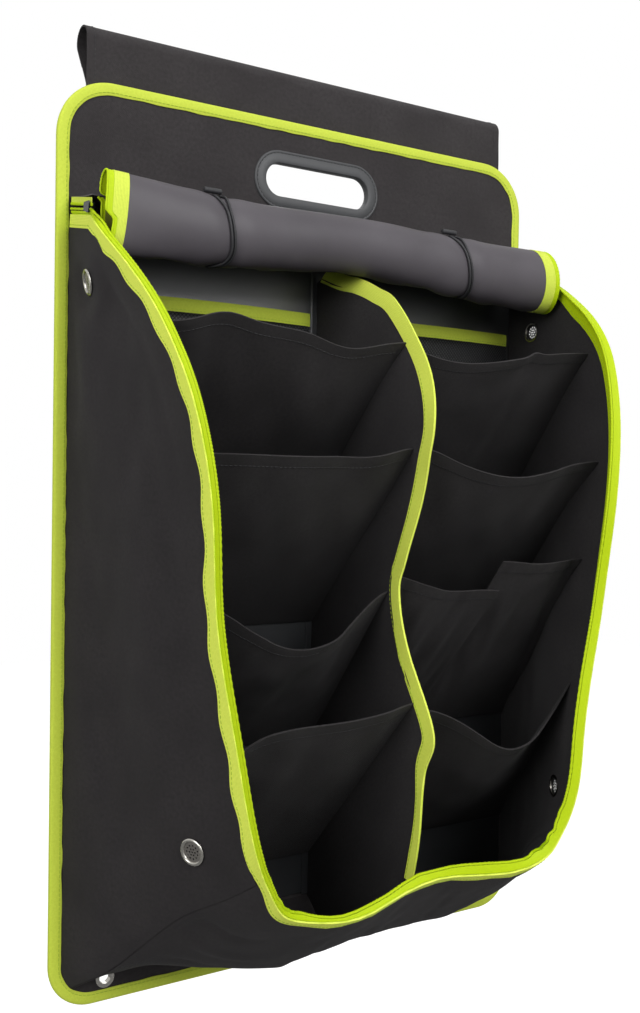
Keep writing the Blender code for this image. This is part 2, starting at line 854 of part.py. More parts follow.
def makeMeshPockets():
    """Fine mesh on the back wall, its elastic top edge standing a little off the wall."""
    for side, word in ((-1, "left"), (1, "right")):
        x = side * np.linspace(seamTapeHalf + 4 * seatGap, meshOuterHalf, 9)
        across = np.linspace(0, 1, 9)
        up = np.linspace(0, 1, 5)[:, None]
        bow = meshBow * np.sin(np.pi * across) * up**1.5
        height = -meshBottomDrop + (meshBottomDrop - meshTopDrop) * up
        seat = wallFront + tapeThick / 2
        sheet("mesh_pocket_" + word, at(x, seat + bow, height), meshThick, blackMesh)
        low = -meshTopDrop + seatGap
        rows = np.array([[low], [low + meshBindingHeight]])
        crest = meshBow * np.sin(np.pi * across)
        sheet("mesh_binding_" + word, at(x, seat + crest, rows), tapeThick, lime)


def pocketGrid(pocket, start, end, side, rows=6, columns=9):
    """Front sheet of a pocket, from its seam on the back wall up to its hem. start and end are the
    half widths it runs between: a number, or None for the gusset."""
    seam, innerDepth, innerDrop, outerDepth, outerDrop, sag, sagAt = pocket
    across = np.linspace(0, 1, columns)[None, :]
    up = np.linspace(0, 1, rows)[:, None]
    bend = math.log(0.5) / math.log(sagAt)
    dip = sag * np.sin(np.pi * across**bend) ** 2
    hemDrop = innerDrop + (outerDrop - innerDrop) * across + dip
    hemDepth = innerDepth + (outerDepth - innerDepth) * across
    belly = pocketSlope * np.sin(np.pi * up) * np.sin(np.pi * across)
    rearDepth = wallFront + 2 * seatGap + clothThick
    depth = rearDepth + (hemDepth - rearDepth) * up + belly
    height = -seam + (seam - hemDrop) * up
    limit = gussetX(depth, height, side) - pocketClear if end is None else end
    x = start + (limit - start) * across
    return at(side * x, depth, height)


def makePockets():
    inner = clothThick / 2 + 2 * seatGap
    for index, pocket in enumerate(leftPockets):
        grid = pocketGrid(pocket, inner, None, -1)
        sheet("left_pocket_{}".format(index + 1), grid, clothThick, charcoal)
    split = splitShare * panelHalf
    spans = ((inner, None), (inner, None), (inner, split), (split + clothThick / 2, None), (inner, None))
    names = ("1", "2", "3_inner", "3_outer", "4")
    for pocket, (start, end), name in zip(rightPockets, spans, names):
        sheet("right_pocket_" + name, pocketGrid(pocket, start, end, 1), clothThick, charcoal)


# Cover, ties and sliders


def rollSection(x):
    """Drop of the roll's middle, and its half height and half depth, at x."""
    share, *sizes = np.array(rollSections).T
    return [np.interp(x / panelHalf, share, size) for size in sizes]


def rollStart(x):
    """Angle at which the cover leaves the hinge line and turns down behind the roll."""
    drop, tall, _ = rollSection(x)
    return -np.arcsin((drop - hingeDrop) / tall)


def rollCurve(x, turn, offset=0.0):
    """Points of the flattened spiral at x, after turning from the hinge line, proud by offset."""
    drop, tall, flat = rollSection(x)
    begin = rollStart(x)
    shrink = offset - rollPitch * turn / math.tau
    middle = hingeDepth + flat * np.cos(begin)
    depth = middle - (flat + shrink) * np.cos(begin + turn)
    return at(x, depth, -drop - (tall + shrink) * np.sin(begin + turn))


def rollEar(word, points, turn):
    """How far an end of the roll stands out at points round its outer turn."""
    reach, rear, front = rollEars[word]
    depth = panelFace - points[:, 1]
    level = np.interp(depth, earDepths, (-rear, -front))
    share = np.clip((points[:, 2] - level) / earFade, 0, 1)
    outer = np.interp(turn / math.tau, earTurns, (1, 0))
    return reach * share * share * (3 - 2 * share) * outer


def makeRolledCover():
    """Cover wound up from its foot, narrower inside, with a zip tape along each side."""
    turn = np.linspace(hingeTurn, rollTurns * math.tau, round(rollTurns * rollSteps))
    ends = rollCurve(coverHalf, turn)
    reach = np.r_[0, np.cumsum(np.linalg.norm(np.diff(ends, axis=0), axis=1))]
    half = coverHalf - coverTaper * np.clip(reach - coverSquare, 0, None)
    edges = {}
    for side, word in ((-1, "left"), (1, "right")):
        ear = rollEar(word, rollCurve(side * coverHalf, turn), turn)
        edges[word] = side * (half + ear)
    waist = [np.full(len(turn), share * panelHalf) for share, *_ in rollSections[1:-1]]
    columns = [edges["left"] + coverTapeWidth, *waist, edges["right"] - coverTapeWidth]
    pieces = [sheet("rolled_cover", np.stack([rollCurve(x, turn) for x in columns], 1), coverThick, greyCoat)]
    for side, word in ((-1, "left"), (1, "right")):
        inner = edges[word] - side * (coverTapeWidth - seatGap)
        strip = np.stack([rollCurve(x, turn) for x in (inner, edges[word])], 1)
        pieces.append(sheet("cover_zip_tape_" + word, strip, coverThick, lime))
    return pieces


def makeRoof():
    """The stretch of the cover that stays zipped, from its seam on the panel to the roll."""
    depth = np.array([seatGap, hingeDepth - hingeGap])
    x = seamHalf - tapeThick / 2 - seatGap
    rise = np.array([-roofDrop, -hingeDrop])
    grid = np.stack([at(-x, depth, rise), at(x, depth, rise)], 1)
    sheet("cover_roof", grid, coverThick, greyCoat)
    for side, word in ((-1, "left"), (1, "right")):
        makeRoofTape(side, word)


chainOffset = coilDiameter + seatGap + chainGap / 2


def closedStretch():
    """Middle line of the closed zip on the right, from the panel to the slider."""
    edge, direction = coilLine()
    return (edge + direction * chainOffset)[: closedPoint * outlineSteps + 1]


def makeRoofTape(side, word):
    """Cover half of the closed zip: a flat tape with its coil along the lower edge."""
    up = np.array([0, 0, chainGap / 2 + coilDiameter / 2])
    bead = closedStretch() + up
    rows = [bead, bead + (0, 0, coilDiameter / 2 + roofTapeHeight)]
    tape = sheet("roof_zip_tape_" + word, np.stack(rows, 1) * (side, 1, 1), tapeThick, lime)
    coil = meshed(tube("roof_coil_" + word, bead[1:-1] * (side, 1, 1), coilDiameter, brightLime), cutters)
    boolean(tape, coil, "UNION")


def makeTies():
    """Elastic loop under and over the roll, its bight round the toggle's neck, and the tail behind."""
    made = []
    out = coverThick / 2 + 2 * seatGap + tieDiameter / 2
    share = np.linspace(0, 1, round(tieTurns * tieSteps))
    turn = tieStart + share * tieTurns * math.tau
    for (place, *_), word in zip(rollSections[1::2], ("left", "right")):
        x = place * panelHalf + np.interp(share, tieStations, tieRuns[word])
        half = np.full((len(turn), 1), tieStrandGap / 2)
        half[-2:] = tieBightGap / 2
        middle = rollCurve(x, turn, out)
        strand = middle - half * (1, 0, 0)
        far = middle + half * (1, 0, 0)
        ahead = unit(strand[-1] - strand[-2])
        radius = tieBightGap / 2
        turns = np.linspace(0, math.pi, 7)[1:-1, None]
        bight = strand[-1] + radius * (ahead * np.sin(turns) + np.array([1.0, 0, 0]) * (1 - np.cos(turns)))
        route = np.vstack([strand, bight, far[::-1]])
        made.append(tube("tie_loop_" + word, route, tieDiameter, blackCord))
        made.append(makeToggle(word, x[-1], middle[-1], out))
        made.append(makeTail(x[-1], word))
    return made


def makeTail(x, word):
    """Short cord from the toggle down the rear of the roll to the hinge line."""
    out = coverThick / 2 + 2 * seatGap + tieTailDiameter / 2
    begin = tieStart + tieTurns * math.tau + tailGap
    turn = np.linspace(begin, math.tau - tailGap, 8)
    return tube("tie_tail_" + word, rollCurve(x, turn, out), tieTailDiameter, blackCord)


def rollNormal(x, point):
    """Outward direction of the roll at a point on it."""
    drop, tall, flat = rollSection(x)
    middle = hingeDepth + flat * math.cos(rollStart(x))
    y, z = point[1] - (panelFace - middle), point[2] + drop
    return unit(np.array([0, y / flat**2, z / tall**2]))


def makeToggle(word, x, root, out):
    """Bar across both strands, on a neck that stands in the bight."""
    outward = rollNormal(x, root)
    middle = root + outward * (tieDiameter / 2 + seatGap + toggleDiameter / 2)
    reach = np.array([toggleLength / 2, 0, 0])
    shift = np.array([toggleShift, 0, 0])
    ends = [middle - reach - shift, middle + reach - shift]
    bar = meshed(tube("toggle_" + word, ends, toggleDiameter, blackCord, 2))
    foot = root - outward * (out - coverThick / 2 - 2 * seatGap)
    neck = meshed(tube("toggle_neck_" + word, [foot, middle], toggleNeck, blackCord), cutters)
    boolean(bar, neck, "UNION")
    hang([bar], "toggle_pivot_" + word, root)
    return bar.parent


def shield(front, rear, length, steps=5):
    """Outline of a slider wing: wide and rounded at the mouths, narrow at the tail."""
    bow = math.pi / 3
    turns = np.linspace(-bow, bow, steps)
    crown = length / 2 - sliderCrown
    nose = [(crown + sliderCrown * math.cos(t), front / 2 * math.sin(t) / math.sin(bow)) for t in turns]
    return [(-length / 2, -rear / 2), *nose, (-length / 2, rear / 2)]


def makeSliders():
    """Slider astride the two coils near the end of the closed stretch, its bail on the inner side."""
    stretch = closedStretch()
    travel = unit(stretch[-1] - stretch[0])
    centre = stretch[-1] - travel * sliderLength / 2
    up = np.cross((1.0, 0, 0), travel)
    up = up * np.sign(up[2])
    level = coilDiameter / 2 + seatGap + sliderWing / 2
    outline = shield(sliderWidth, sliderWidth * sliderTail, sliderLength)
    half = sliderBridge / 2
    post = [(0, -half), (sliderPost, -half), (sliderPost, half), (0, half)]
    for side, word in ((-1, "left"), (1, "right")):
        axes = Matrix((travel, up * side, (side, 0, 0))).transposed().to_4x4()
        place = Matrix.Translation(Vector(centre * (side, 1, 1))) @ axes
        slider = flatPlate("zip_slider_" + word, [outline], sliderWing)
        slider.matrix_world = place @ Matrix.Translation((0, 0, level))
        slider = dress(meshed(slider), darkMetal)
        inner = flatPlate("slider_wing_" + word, [outline], sliderWing, cutters)
        inner.matrix_world = place @ Matrix.Translation((0, 0, -level))
        bridge = flatPlate("slider_bridge_" + word, [post], 2 * level, cutters)
        bridge.matrix_world = place
        for add in (inner, bridge, makeBail(word, place, -level)):
            boolean(slider, meshed(add, cutters), "UNION")
        pivot = hang([slider], "slider_seat_" + word, centre * (side, 1, 1))
        pull = makePull(side, word, travel, place @ Vector((0, 0, -level - bailRise)))
        pull.parent = pivot
        bpy.context.view_layer.update()
        pull.matrix_parent_inverse = pivot.matrix_world.inverted()


def makeBail(word, place, base):
    """Wire bridge along the inner wing that carries the pull."""
    reach = bailReach
    route = ((-reach, base), (-reach * 0.85, base - bailRise), (reach * 0.85, base - bailRise), (reach, base))
    points = [place @ Vector((x, 0, z)) for x, z in route]
    return tube("slider_bail_" + word, points, bailDiameter, darkMetal)


def makePull(side, word, travel, hook):
    """Tab whose eye goes round the bail's wire, hanging down between the roll's end and the gusset."""
    inward = np.array([-side, 0, 0.0])
    up = np.cross(travel, inward)
    up = up * np.sign(up[2])
    wire = bailDiameter / 2 + seatGap
    neck = wire + pullWall
    wide = pullWidth / 2
    turns = np.radians(np.linspace(0, 180, 9))
    outline = [(neck * math.cos(t), neck * math.sin(t)) for t in turns]
    outline += [(-neck, -sliderWidth / 2), (-wide, -sliderWidth / 2 - wide), (-wide, -pullLength)]
    outline += [(wide, -pullLength), (wide, -sliderWidth / 2 - wide), (neck, -sliderWidth / 2)]
    pull = flatPlate("zip_pull_" + word, [outline, circle(wire, 0, 0, 12)], pullThick)
    normal = np.cross(inward, up)
    axes = Matrix((inward, up, normal)).transposed().to_4x4()
    pull.matrix_world = Matrix.Translation(hook) @ axes
    return hang([dress(pull, darkMetal)], "pull_pivot_" + word, hook)


clearScene()
makeSleeve()
makePanel()
makeEdgeBinding()
makeHandleTrim()
makeCornerEyelets()
makeGussets()
makeRim()
makeLining()
makeDivider()
makeMeshPockets()
makePockets()
makeRoof()
rolled = makeRolledCover() + makeTies()
hang(rolled, "cover_hinge", (0, panelFace - hingeDepth, -hingeDrop))
makeSliders()
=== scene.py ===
import math

import bpy
import numpy as np
from mathutils import Matrix, Vector


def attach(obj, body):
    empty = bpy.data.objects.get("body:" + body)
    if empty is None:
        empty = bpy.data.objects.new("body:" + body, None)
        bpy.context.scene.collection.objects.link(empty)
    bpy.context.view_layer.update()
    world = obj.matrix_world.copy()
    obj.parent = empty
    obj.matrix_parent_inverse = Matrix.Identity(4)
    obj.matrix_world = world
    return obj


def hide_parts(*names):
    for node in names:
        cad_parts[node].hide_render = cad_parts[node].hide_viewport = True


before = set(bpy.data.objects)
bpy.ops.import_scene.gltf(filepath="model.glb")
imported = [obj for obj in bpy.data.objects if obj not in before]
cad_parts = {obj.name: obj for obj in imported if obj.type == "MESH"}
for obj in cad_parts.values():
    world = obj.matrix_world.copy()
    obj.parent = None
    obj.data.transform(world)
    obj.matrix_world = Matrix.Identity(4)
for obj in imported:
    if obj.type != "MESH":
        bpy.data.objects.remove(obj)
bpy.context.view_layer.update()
scene = bpy.context.scene
rest = "organizer"  # body that hangs still
print("frame loaded:", len(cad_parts), "nodes")

# Metres, +Z up, front towards -Y. The origin is the pole's axis at the middle of the sleeve.
# A depth is measured forwards from the panel's face, and a drop downwards from the origin.

cloth = {"thick": 0.0012, "lining": 0.0008, "tape": 0.0010, "gap": 0.0003}
panel = {
    "half": 0.300, "top": -0.043, "bottom": -0.963, "topRadius": 0.058, "bottomRadius": 0.045,
    "cell": 0.005, "slotWidth": 0.134, "slotHeight": 0.0356, "slotDrop": 0.1083,
    "bindingWidth": 0.0125, "bindingThick": 0.0010, "board": 0.0022, "liningTop": 0.0703,
}
gap = cloth["gap"]
sleeveFront = -(0.013 + cloth["thick"])
bindingRear = sleeveFront - gap
boardRear = bindingRear - panel["bindingThick"] - gap
boardFront = boardRear - panel["board"]
fabricRear = boardFront - gap
panelFace = fabricRear - cloth["thick"]
bindingFront = panelFace - gap - panel["bindingThick"]
seamHalf = panel["half"] - panel["bindingWidth"] - 0.0010
liningFront = gap + cloth["lining"]
wallFront = liningFront + gap
sides = ((-1, "left"), (1, "right"))
toFront, toRear = (0, -1.0, 0), (0, 1.0, 0)


# Numbers and curves


def unit(vectors):
    return vectors / np.maximum(np.linalg.norm(vectors, axis=-1, keepdims=True), 1e-12)


def squareTo(vectors, ahead):
    # Unit vectors with their part along ahead taken out
    return unit(vectors - (vectors * ahead).sum(1, keepdims=True) * ahead)


def join(x, y, z):
    return np.stack(np.broadcast_arrays(x, y, z), -1)


def at(x, depth, height):
    return join(x, panelFace - depth, height)


def looped(points):
    return np.vstack([points, points[:1]])


def hill(value, middle, width):
    # Bell curve: 1 at the middle, nearly 0 two widths from it
    return np.exp(-(((value - middle) / width) ** 2))


def smoothStep(share):
    share = np.clip(share, 0, 1)
    return share * share * (3 - 2 * share)


def ripple(u, v, length, seed, count=11):
    # Sum of sine waves of random direction, length and phase: smooth, about -1 to 1
    rng = np.random.default_rng(seed)
    turn, phase = rng.uniform(0, math.tau, (2, count))
    size = length * rng.uniform(0.7, 1.5, count)
    along = u[..., None] * np.cos(turn) + v[..., None] * np.sin(turn)
    return np.cos(along * math.tau / size + phase).sum(-1) / math.sqrt(count)


def creases(u, v, lines):
    # Each line (u0, v0, u1, v1, width, height) is a rounded ridge along a segment that fades at its ends
    total = np.zeros(u.shape)
    for u0, v0, u1, v1, width, height in lines:
        du, dv = u1 - u0, v1 - v0
        share = ((u - u0) * du + (v - v0) * dv) / (du * du + dv * dv)
        inside = np.clip(share, 0, 1)
        off = np.hypot(u - u0 - inside * du, v - v0 - inside * dv)
        fade = np.sin(math.pi * inside) ** 0.7
        total += height * fade * hill(off, 0, width)
    return total


def throughPoints(points, steps):
    # Catmull-Rom curve through points, with steps stretches between each two
    points = np.asarray(points, float)
    padded = np.vstack([2 * points[0] - points[1], points, 2 * points[-1] - points[-2]])
    share = np.linspace(0, 1, steps, endpoint=False)[:, None]
    runs = []
    for a, b, c, d in zip(padded, padded[1:], padded[2:], padded[3:]):
        bend = 2 * a - 5 * b + 4 * c - d
        twist = -a + 3 * b - 3 * c + d
        runs.append(0.5 * (2 * b + (c - a) * share + bend * share**2 + twist * share**3))
    return np.vstack(runs + [points[-1:]])


def lengthAlong(points):
    return np.r_[0, np.cumsum(np.linalg.norm(np.diff(points, axis=0), axis=1))]


def evenly(points, count, trim=0.0):
    # The same line with count points at equal spacing, shorter by trim at each end
    reach = lengthAlong(points)
    wanted = np.linspace(trim, reach[-1] - trim, count)
    return np.stack([np.interp(wanted, reach, line) for line in points.T], -1)


# Meshes from arrays


def meshOf(name, points, faces, uvs, finish, smooth=40):
    # faces and uvs are lists of arrays, one pair for each number of corners
    mesh = bpy.data.meshes.new(name)
    mesh.vertices.add(len(points))
    mesh.vertices.foreach_set("co", np.asarray(points, np.float32).ravel())
    corners = np.concatenate([group.ravel() for group in faces]).astype(np.int32)
    sizes = np.concatenate([np.full(len(group), group.shape[1]) for group in faces])
    mesh.loops.add(len(corners))
    mesh.loops.foreach_set("vertex_index", corners)
    mesh.polygons.add(len(sizes))
    mesh.polygons.foreach_set("loop_start", (np.cumsum(sizes) - sizes).astype(np.int32))
    mesh.update(calc_edges=True)
    layer = mesh.uv_layers.new(name="UVMap")
    layer.data.foreach_set("uv", np.concatenate([group.ravel() for group in uvs]).astype(np.float32))
    mesh.validate()
    mesh.shade_smooth()
    mesh.set_sharp_from_angle(angle=math.radians(smooth))
    piece = bpy.data.objects.new(name, mesh)
    scene.collection.objects.link(piece)
    mesh.materials.append(finish)
    return piece


def outwards(points, faces, uvs):
    # Turns every face over when the closed surface holds a negative volume
    volume = 0.0
    for group in faces:
        first = points[group[:, 0]]
        for index in range(1, group.shape[1] - 1):
            edge = np.cross(points[group[:, index]], points[group[:, index + 1]])
            volume += (first * edge).sum()
    if volume >= 0:
        return faces, uvs
    return [group[:, ::-1] for group in faces], [group[:, ::-1] for group in uvs]


def gridUv(grid):
    # Metres along the cloth both ways, counted from the grid's middle
    across = np.cumsum(np.linalg.norm(np.diff(grid, axis=1, prepend=grid[:, :1]), axis=2), axis=1)
    down = np.cumsum(np.linalg.norm(np.diff(grid, axis=0, prepend=grid[:1]), axis=2), axis=0)
    across -= across[:, across.shape[1] // 2][:, None]
    down -= down[down.shape[0] // 2]
    return np.stack([across, down], -1)


def gridNormal(grid):
    return unit(np.cross(np.gradient(grid, axis=0), np.gradient(grid, axis=1)))


def shell(name, grid, thick, finish, keep=None, smooth=40, other=None, flip=False):
    # A closed cloth: the grid moved half the thickness to both sides, and a wall round every free edge.
    # other is the finish of its second side, or with flip of its first
    grid = np.asarray(grid, float)
    rows, columns = grid.shape[:2]
    count = rows * columns
    offset = gridNormal(grid) * (np.broadcast_to(thick, (rows, columns))[..., None] / 2)
    points = np.concatenate([(grid + offset).reshape(-1, 3), (grid - offset).reshape(-1, 3)])
    index = np.arange(count).reshape(rows, columns)
    quads = np.stack([index[:-1, :-1], index[:-1, 1:], index[1:, 1:], index[1:, :-1]], -1).reshape(-1, 4)
    if keep is not None:
        quads = quads[keep.ravel()]
    start = quads.ravel()
    end = np.roll(quads, -1, axis=1).ravel()
    free = ~np.isin(start * count + end, end * count + start)
    start, end = start[free], end[free]
    walls = np.stack([end, start, start + count, end + count], -1)
    faces = np.concatenate([quads, quads[:, ::-1] + count, walls])
    used, faces = np.unique(faces, return_inverse=True)
    faces = faces.reshape(-1, 4)
    points = points[used]
    uv = np.tile(gridUv(grid).reshape(-1, 2), (2, 1))[used]
    faces, uvs = outwards(points, [faces], [uv[faces]])
    piece = meshOf(name, points, faces, uvs, finish, smooth)
    if other:
        piece.data.materials.append(other)
        index = np.zeros(len(faces[0]), np.int32)
        index[slice(0, len(quads)) if flip else slice(len(quads), 2 * len(quads))] = 1
        piece.data.polygons.foreach_set("material_index", index)
    return piece


def sweep(name, path, side, out, section, finish, closed=False, smooth=40):
    # A closed section of (side, out) points carried along the path, capped where the path is open
    section = np.broadcast_to(section, (len(path), *np.shape(section)[-2:]))
    rings = path[:, None] + side[:, None] * section[..., :1] + out[:, None] * section[..., 1:]
    count, around = rings.shape[:2]
    ring = np.arange(count if closed else count - 1)
    point = np.arange(around)
    here, after = ring[:, None] * around, (ring[:, None] + 1) % count * around
    beyond = (point + 1) % around
    quads = np.stack([here + point, here + beyond, after + beyond, after + point], -1).reshape(-1, 4)
    reach, girth = lengthAlong(looped(path)), lengthAlong(looped(section[0]))
    u, v = np.broadcast_arrays(reach[ring][:, None], girth[point])
    u2, v2 = np.broadcast_arrays(reach[ring + 1][:, None], girth[point + 1])
    uv = np.stack([u, v, u, v2, u2, v2, u2, v], -1)
    faces, uvs = [quads], [uv.reshape(-1, 4, 2)]
    points = rings.reshape(-1, 3)
    if not closed:
        faces.append(np.stack([point[::-1], point + (count - 1) * around]))
        uvs.append(np.stack([section[0][::-1], section[-1]]))
    faces, uvs = outwards(points, faces, uvs)
    return meshOf(name, points, faces, uvs, finish, smooth)


def axesAlong(path, out, closed=False):
    # Side and outward directions square to a path, from a rough outward direction
    if closed:
        tangent = unit(np.roll(path, -1, axis=0) - np.roll(path, 1, axis=0))
    else:
        tangent = unit(np.gradient(path, axis=0))
    out = squareTo(np.broadcast_to(out, path.shape), tangent)
    return np.cross(tangent, out), out


def roundSection(width, height, points=10):
    turn = np.arange(points) * math.tau / points
    return np.stack([width / 2 * np.cos(turn), height / 2 * np.sin(turn)], -1)


def tube(name, path, out, width, height, finish, points=10):
    side, out = axesAlong(path, out)
    return sweep(name, path, side, out, roundSection(width, height, points), finish, smooth=60)


# A thread has five rings: their place along it, their thickness and their rise, as shares
stitch = {
    "length": 0.0034, "pitch": 0.0046, "thread": 0.0007,
    "along": (-0.5, -0.38, 0.0, 0.38, 0.5), "thick": (0.45, 0.95, 1.05, 0.95, 0.45),
    "rise": (-0.55, 0.05, 0.35, 0.05, -0.55),
}


def stitches(name, rows, finish):
    # Each row is (path, outward direction): short arched threads with both ends sunk in the cloth
    along, thick, rise = (np.array(stitch[key]) for key in ("along", "thick", "rise"))
    rings = len(along)
    turn = np.arange(rings) * math.tau / rings
    radius = stitch["thread"] / 2
    blocks = []
    for path, out in rows:
        count = 2 * max(1, int(lengthAlong(path)[-1] / stitch["pitch"])) + 1
        spots = evenly(path, count)
        place, ahead = spots[1::2], unit(spots[2::2] - spots[:-2:2])
        out = evenly(np.hstack([path, np.broadcast_to(out, path.shape)]), count)[1::2, 3:]
        out = squareTo(out, ahead)
        side = np.cross(ahead, out)
        onward = ahead[:, None, None] * (along * stitch["length"])[:, None, None]
        up = (rise[:, None] + thick[:, None] * np.sin(turn)) * radius
        over = thick[:, None] * np.cos(turn) * radius
        lift = out[:, None, None] * up[..., None] + side[:, None, None] * over[..., None]
        blocks.append((place[:, None, None] + onward + lift).reshape(-1, rings * rings, 3))
    threads = np.concatenate(blocks)
    base = np.arange(len(threads))[:, None, None] * rings * rings
    ring, point = np.meshgrid(np.arange(rings - 1) * rings, np.arange(rings), indexing="ij")
    beyond = (point + 1) % rings
    quad = np.stack([ring + point, ring + beyond, ring + rings + beyond, ring + rings + point], -1)
    quads = (base + quad.reshape(1, -1, 4)).reshape(-1, 4)
    cap = np.arange(rings)
    caps = (base + np.stack([cap[::-1], cap + rings * (rings - 1)])[None]).reshape(-1, rings)
    points = threads.reshape(-1, 3)
    uv = np.stack(np.meshgrid(along * stitch["length"], turn * radius, indexing="ij"), -1)
    uv = np.tile(uv.reshape(-1, 2), (len(threads), 1))
    faces, uvs = outwards(points, [quads, caps], [uv[quads], uv[caps]])
    return meshOf(name, points, faces, uvs, finish, 60)


# Finishes


def toLinear(code):
    value = np.array([int(code[i : i + 2], 16) for i in (1, 3, 5)]) / 255
    value = np.where(value <= 0.04045, value / 12.92, ((value + 0.055) / 1.055) ** 2.4)
    return (*value.tolist(), 1.0)


def addNode(tree, kind, links=None, **settings):
    # A node with its settings, its inputs set to values or linked from other sockets
    node = tree.nodes.new(kind)
    for key, value in settings.items():
        setattr(node, key, value)
    for socket, value in (links or {}).items():
        if isinstance(value, bpy.types.NodeSocket):
            tree.links.new(value, node.inputs[socket])
        else:
            node.inputs[socket].default_value = value
    return node


def newFinish(name, roughness, **values):
    finish = bpy.data.materials.new(name)
    finish.use_nodes = True
    tree = finish.node_tree
    surface = tree.nodes["Principled BSDF"]
    surface.inputs["Roughness"].default_value = roughness
    for key, value in values.items():
        surface.inputs[key].default_value = value
    return finish, tree, surface


def noise(tree, place, scale, detail, **more):
    return addNode(tree, "ShaderNodeTexNoise", {"Vector": place, "Scale": scale, "Detail": detail, **more}).outputs[0]


def reckon(tree, operation, *values):
    return addNode(tree, "ShaderNodeMath", dict(enumerate(values)), operation=operation).outputs[0]


def mapRange(tree, value, limits):
    # limits gives the sockets for where the value and the result start and end
    return addNode(tree, "ShaderNodeMapRange", {0: value, **limits}).outputs[0]


def cover(tree, surface, share, dark, light, strength, distance, height):
    # Base colour between dark and light by share, and fine relief by height
    colours = {0: share, 6: toLinear(dark), 7: toLinear(light)}
    mix = addNode(tree, "ShaderNodeMix", colours, data_type="RGBA")
    tree.links.new(mix.outputs[2], surface.inputs["Base Color"])
    bump = addNode(tree, "ShaderNodeBump", {"Strength": strength, "Distance": distance, "Height": height})
    tree.links.new(bump.outputs[0], surface.inputs["Normal"])


def weaveHeight(tree, pitch):
    # Plain weave in UV metres: in a checkerboard of threads, warp lies over weft and weft over warp
    place = addNode(tree, "ShaderNodeUVMap").outputs[0]
    wave = {"Vector": place, "Scale": math.pi / 10 / pitch}
    warp, weft = (addNode(tree, "ShaderNodeTexWave", wave, bands_direction=way).outputs[1] for way in "XY")
    over = addNode(tree, "ShaderNodeTexChecker", {"Vector": place, "Scale": 1 / pitch})
    mix = addNode(tree, "ShaderNodeMix", {0: over.outputs[1], 2: warp, 3: weft})
    return place, mix.outputs[0]


def wovenCloth(name, dark, light, roughness=0.82):
    # Cloth with threads 0.9 mm apart, slubs along them and broad mottling
    finish, tree, surface = newFinish(
        name, roughness, **{"Sheen Weight": 0.04, "Sheen Roughness": 0.5, "Specular IOR Level": 0.2}
    )
    place, height = weaveHeight(tree, 0.0009)
    slub = noise(tree, place, 260.0, 3.0)
    patch = noise(tree, place, 14.0, 2.0)
    spread = mapRange(tree, reckon(tree, "MULTIPLY", slub, patch), {1: 0.12, 2: 0.42, 3: 0.0, 4: 0.5})
    share = reckon(tree, "ADD", spread, reckon(tree, "MULTIPLY", height, 0.5))
    grain = reckon(tree, "MULTIPLY_ADD", slub, 0.6, height)
    cover(tree, surface, share, dark, light, 0.5, 0.0003, grain)
    return finish


def ribbedTape(name, dark, light, roughness, pitch, strength):
    # Tape woven with ribs square to its length, in the U direction of its map
    finish, tree, surface = newFinish(
        name, roughness, **{"Sheen Weight": 0.03, "Sheen Roughness": 0.4, "Specular IOR Level": 0.25}
    )
    place = addNode(tree, "ShaderNodeUVMap").outputs[0]
    wave = {"Vector": place, "Scale": math.pi / 10 / pitch, "Distortion": 0.8, "Detail": 1.0, "Detail Scale": 2.0}
    rib = addNode(tree, "ShaderNodeTexWave", wave).outputs[1]
    share = reckon(tree, "MULTIPLY_ADD", rib, 0.55, 0.0)
    total = reckon(tree, "MULTIPLY_ADD", noise(tree, place, 420.0, 3.0), 0.55, share)
    cover(tree, surface, total, dark, light, strength, 0.0003, total)
    return finish


def plainThread(name, code):
    finish, tree, surface = newFinish(name, 0.6)
    surface.inputs["Base Color"].default_value = toLinear(code)
    return finish


# Woven polyester, 600 denier: dull near-black cloth with a fine grain. Threads of 0.5 mm are drawn at 0.9 mm
charcoal = wovenCloth("charcoal woven polyester", "#262324", "#3d3a3b")
# The same cloth made darker as painted shade, in the gussets and the bottom
shadedSideCharcoal = wovenCloth("charcoal polyester side cloth with painted shade", "#1c1a1b", "#312e2f")
# The same cloth on inside faces, made darker there as painted shade
shadedInnerCharcoal = wovenCloth("charcoal polyester pocket cloth with painted shade", "#1f1d1e", "#353334", 0.80)
# Warp-knitted polyester binding: dull lime with fine cross ribs. The closed zip's and the cover's is wider ribbed
limeBinding = ribbedTape("lime woven binding tape", "#b0c234", "#d6e554", 0.72, 0.0011, 0.45)
dullBinding = ribbedTape("lime herringbone band", "#b8cb3c", "#e2f060", 0.75, 0.0014, 0.7)
# The same tape made paler as painted light, in the rim and the divider
litRimBinding = ribbedTape("lime rim band with painted light", "#cbdf44", "#f2fd6c", 0.75, 0.0014, 0.7)
# The same tape darkened to olive as painted shade, seen inside the roll's ends
shadedOliveBinding = ribbedTape("lime band with painted shade", "#5d6122", "#7d822f", 0.8, 0.0014, 0.5)
# Zip tape: the same fibre dyed brighter and woven closer, so it is smoother
limeZip = ribbedTape("bright lime zip tape", "#a6c000", "#c2dc06", 0.60, 0.0009, 0.3)
limeThread = plainThread("lime polyester thread", "#a3bd2b")
blackThread = plainThread("black polyester thread", "#17171a")


def coatedCloth(name, dark, light, roughness, coat, strength):
    # Polyurethane on woven cloth: smooth, with the weave faintly through it and a satin gloss
    values = {"Coat Weight": coat, "Coat Roughness": 0.35, "Specular IOR Level": 0.3 + 0.45 * coat}
    finish, tree, surface = newFinish(name, roughness, **values)
    place, height = weaveHeight(tree, 0.0008)
    cloud = noise(tree, place, 9.0, 4.0)
    rough = mapRange(tree, cloud, {1: 0.3, 2: 0.7, 3: roughness - 0.05, 4: roughness + 0.08})
    tree.links.new(rough, surface.inputs["Roughness"])
    share = mapRange(tree, cloud, {1: 0.35, 2: 0.65})
    cover(tree, surface, share, dark, light, strength, 0.0002, height)
    return finish


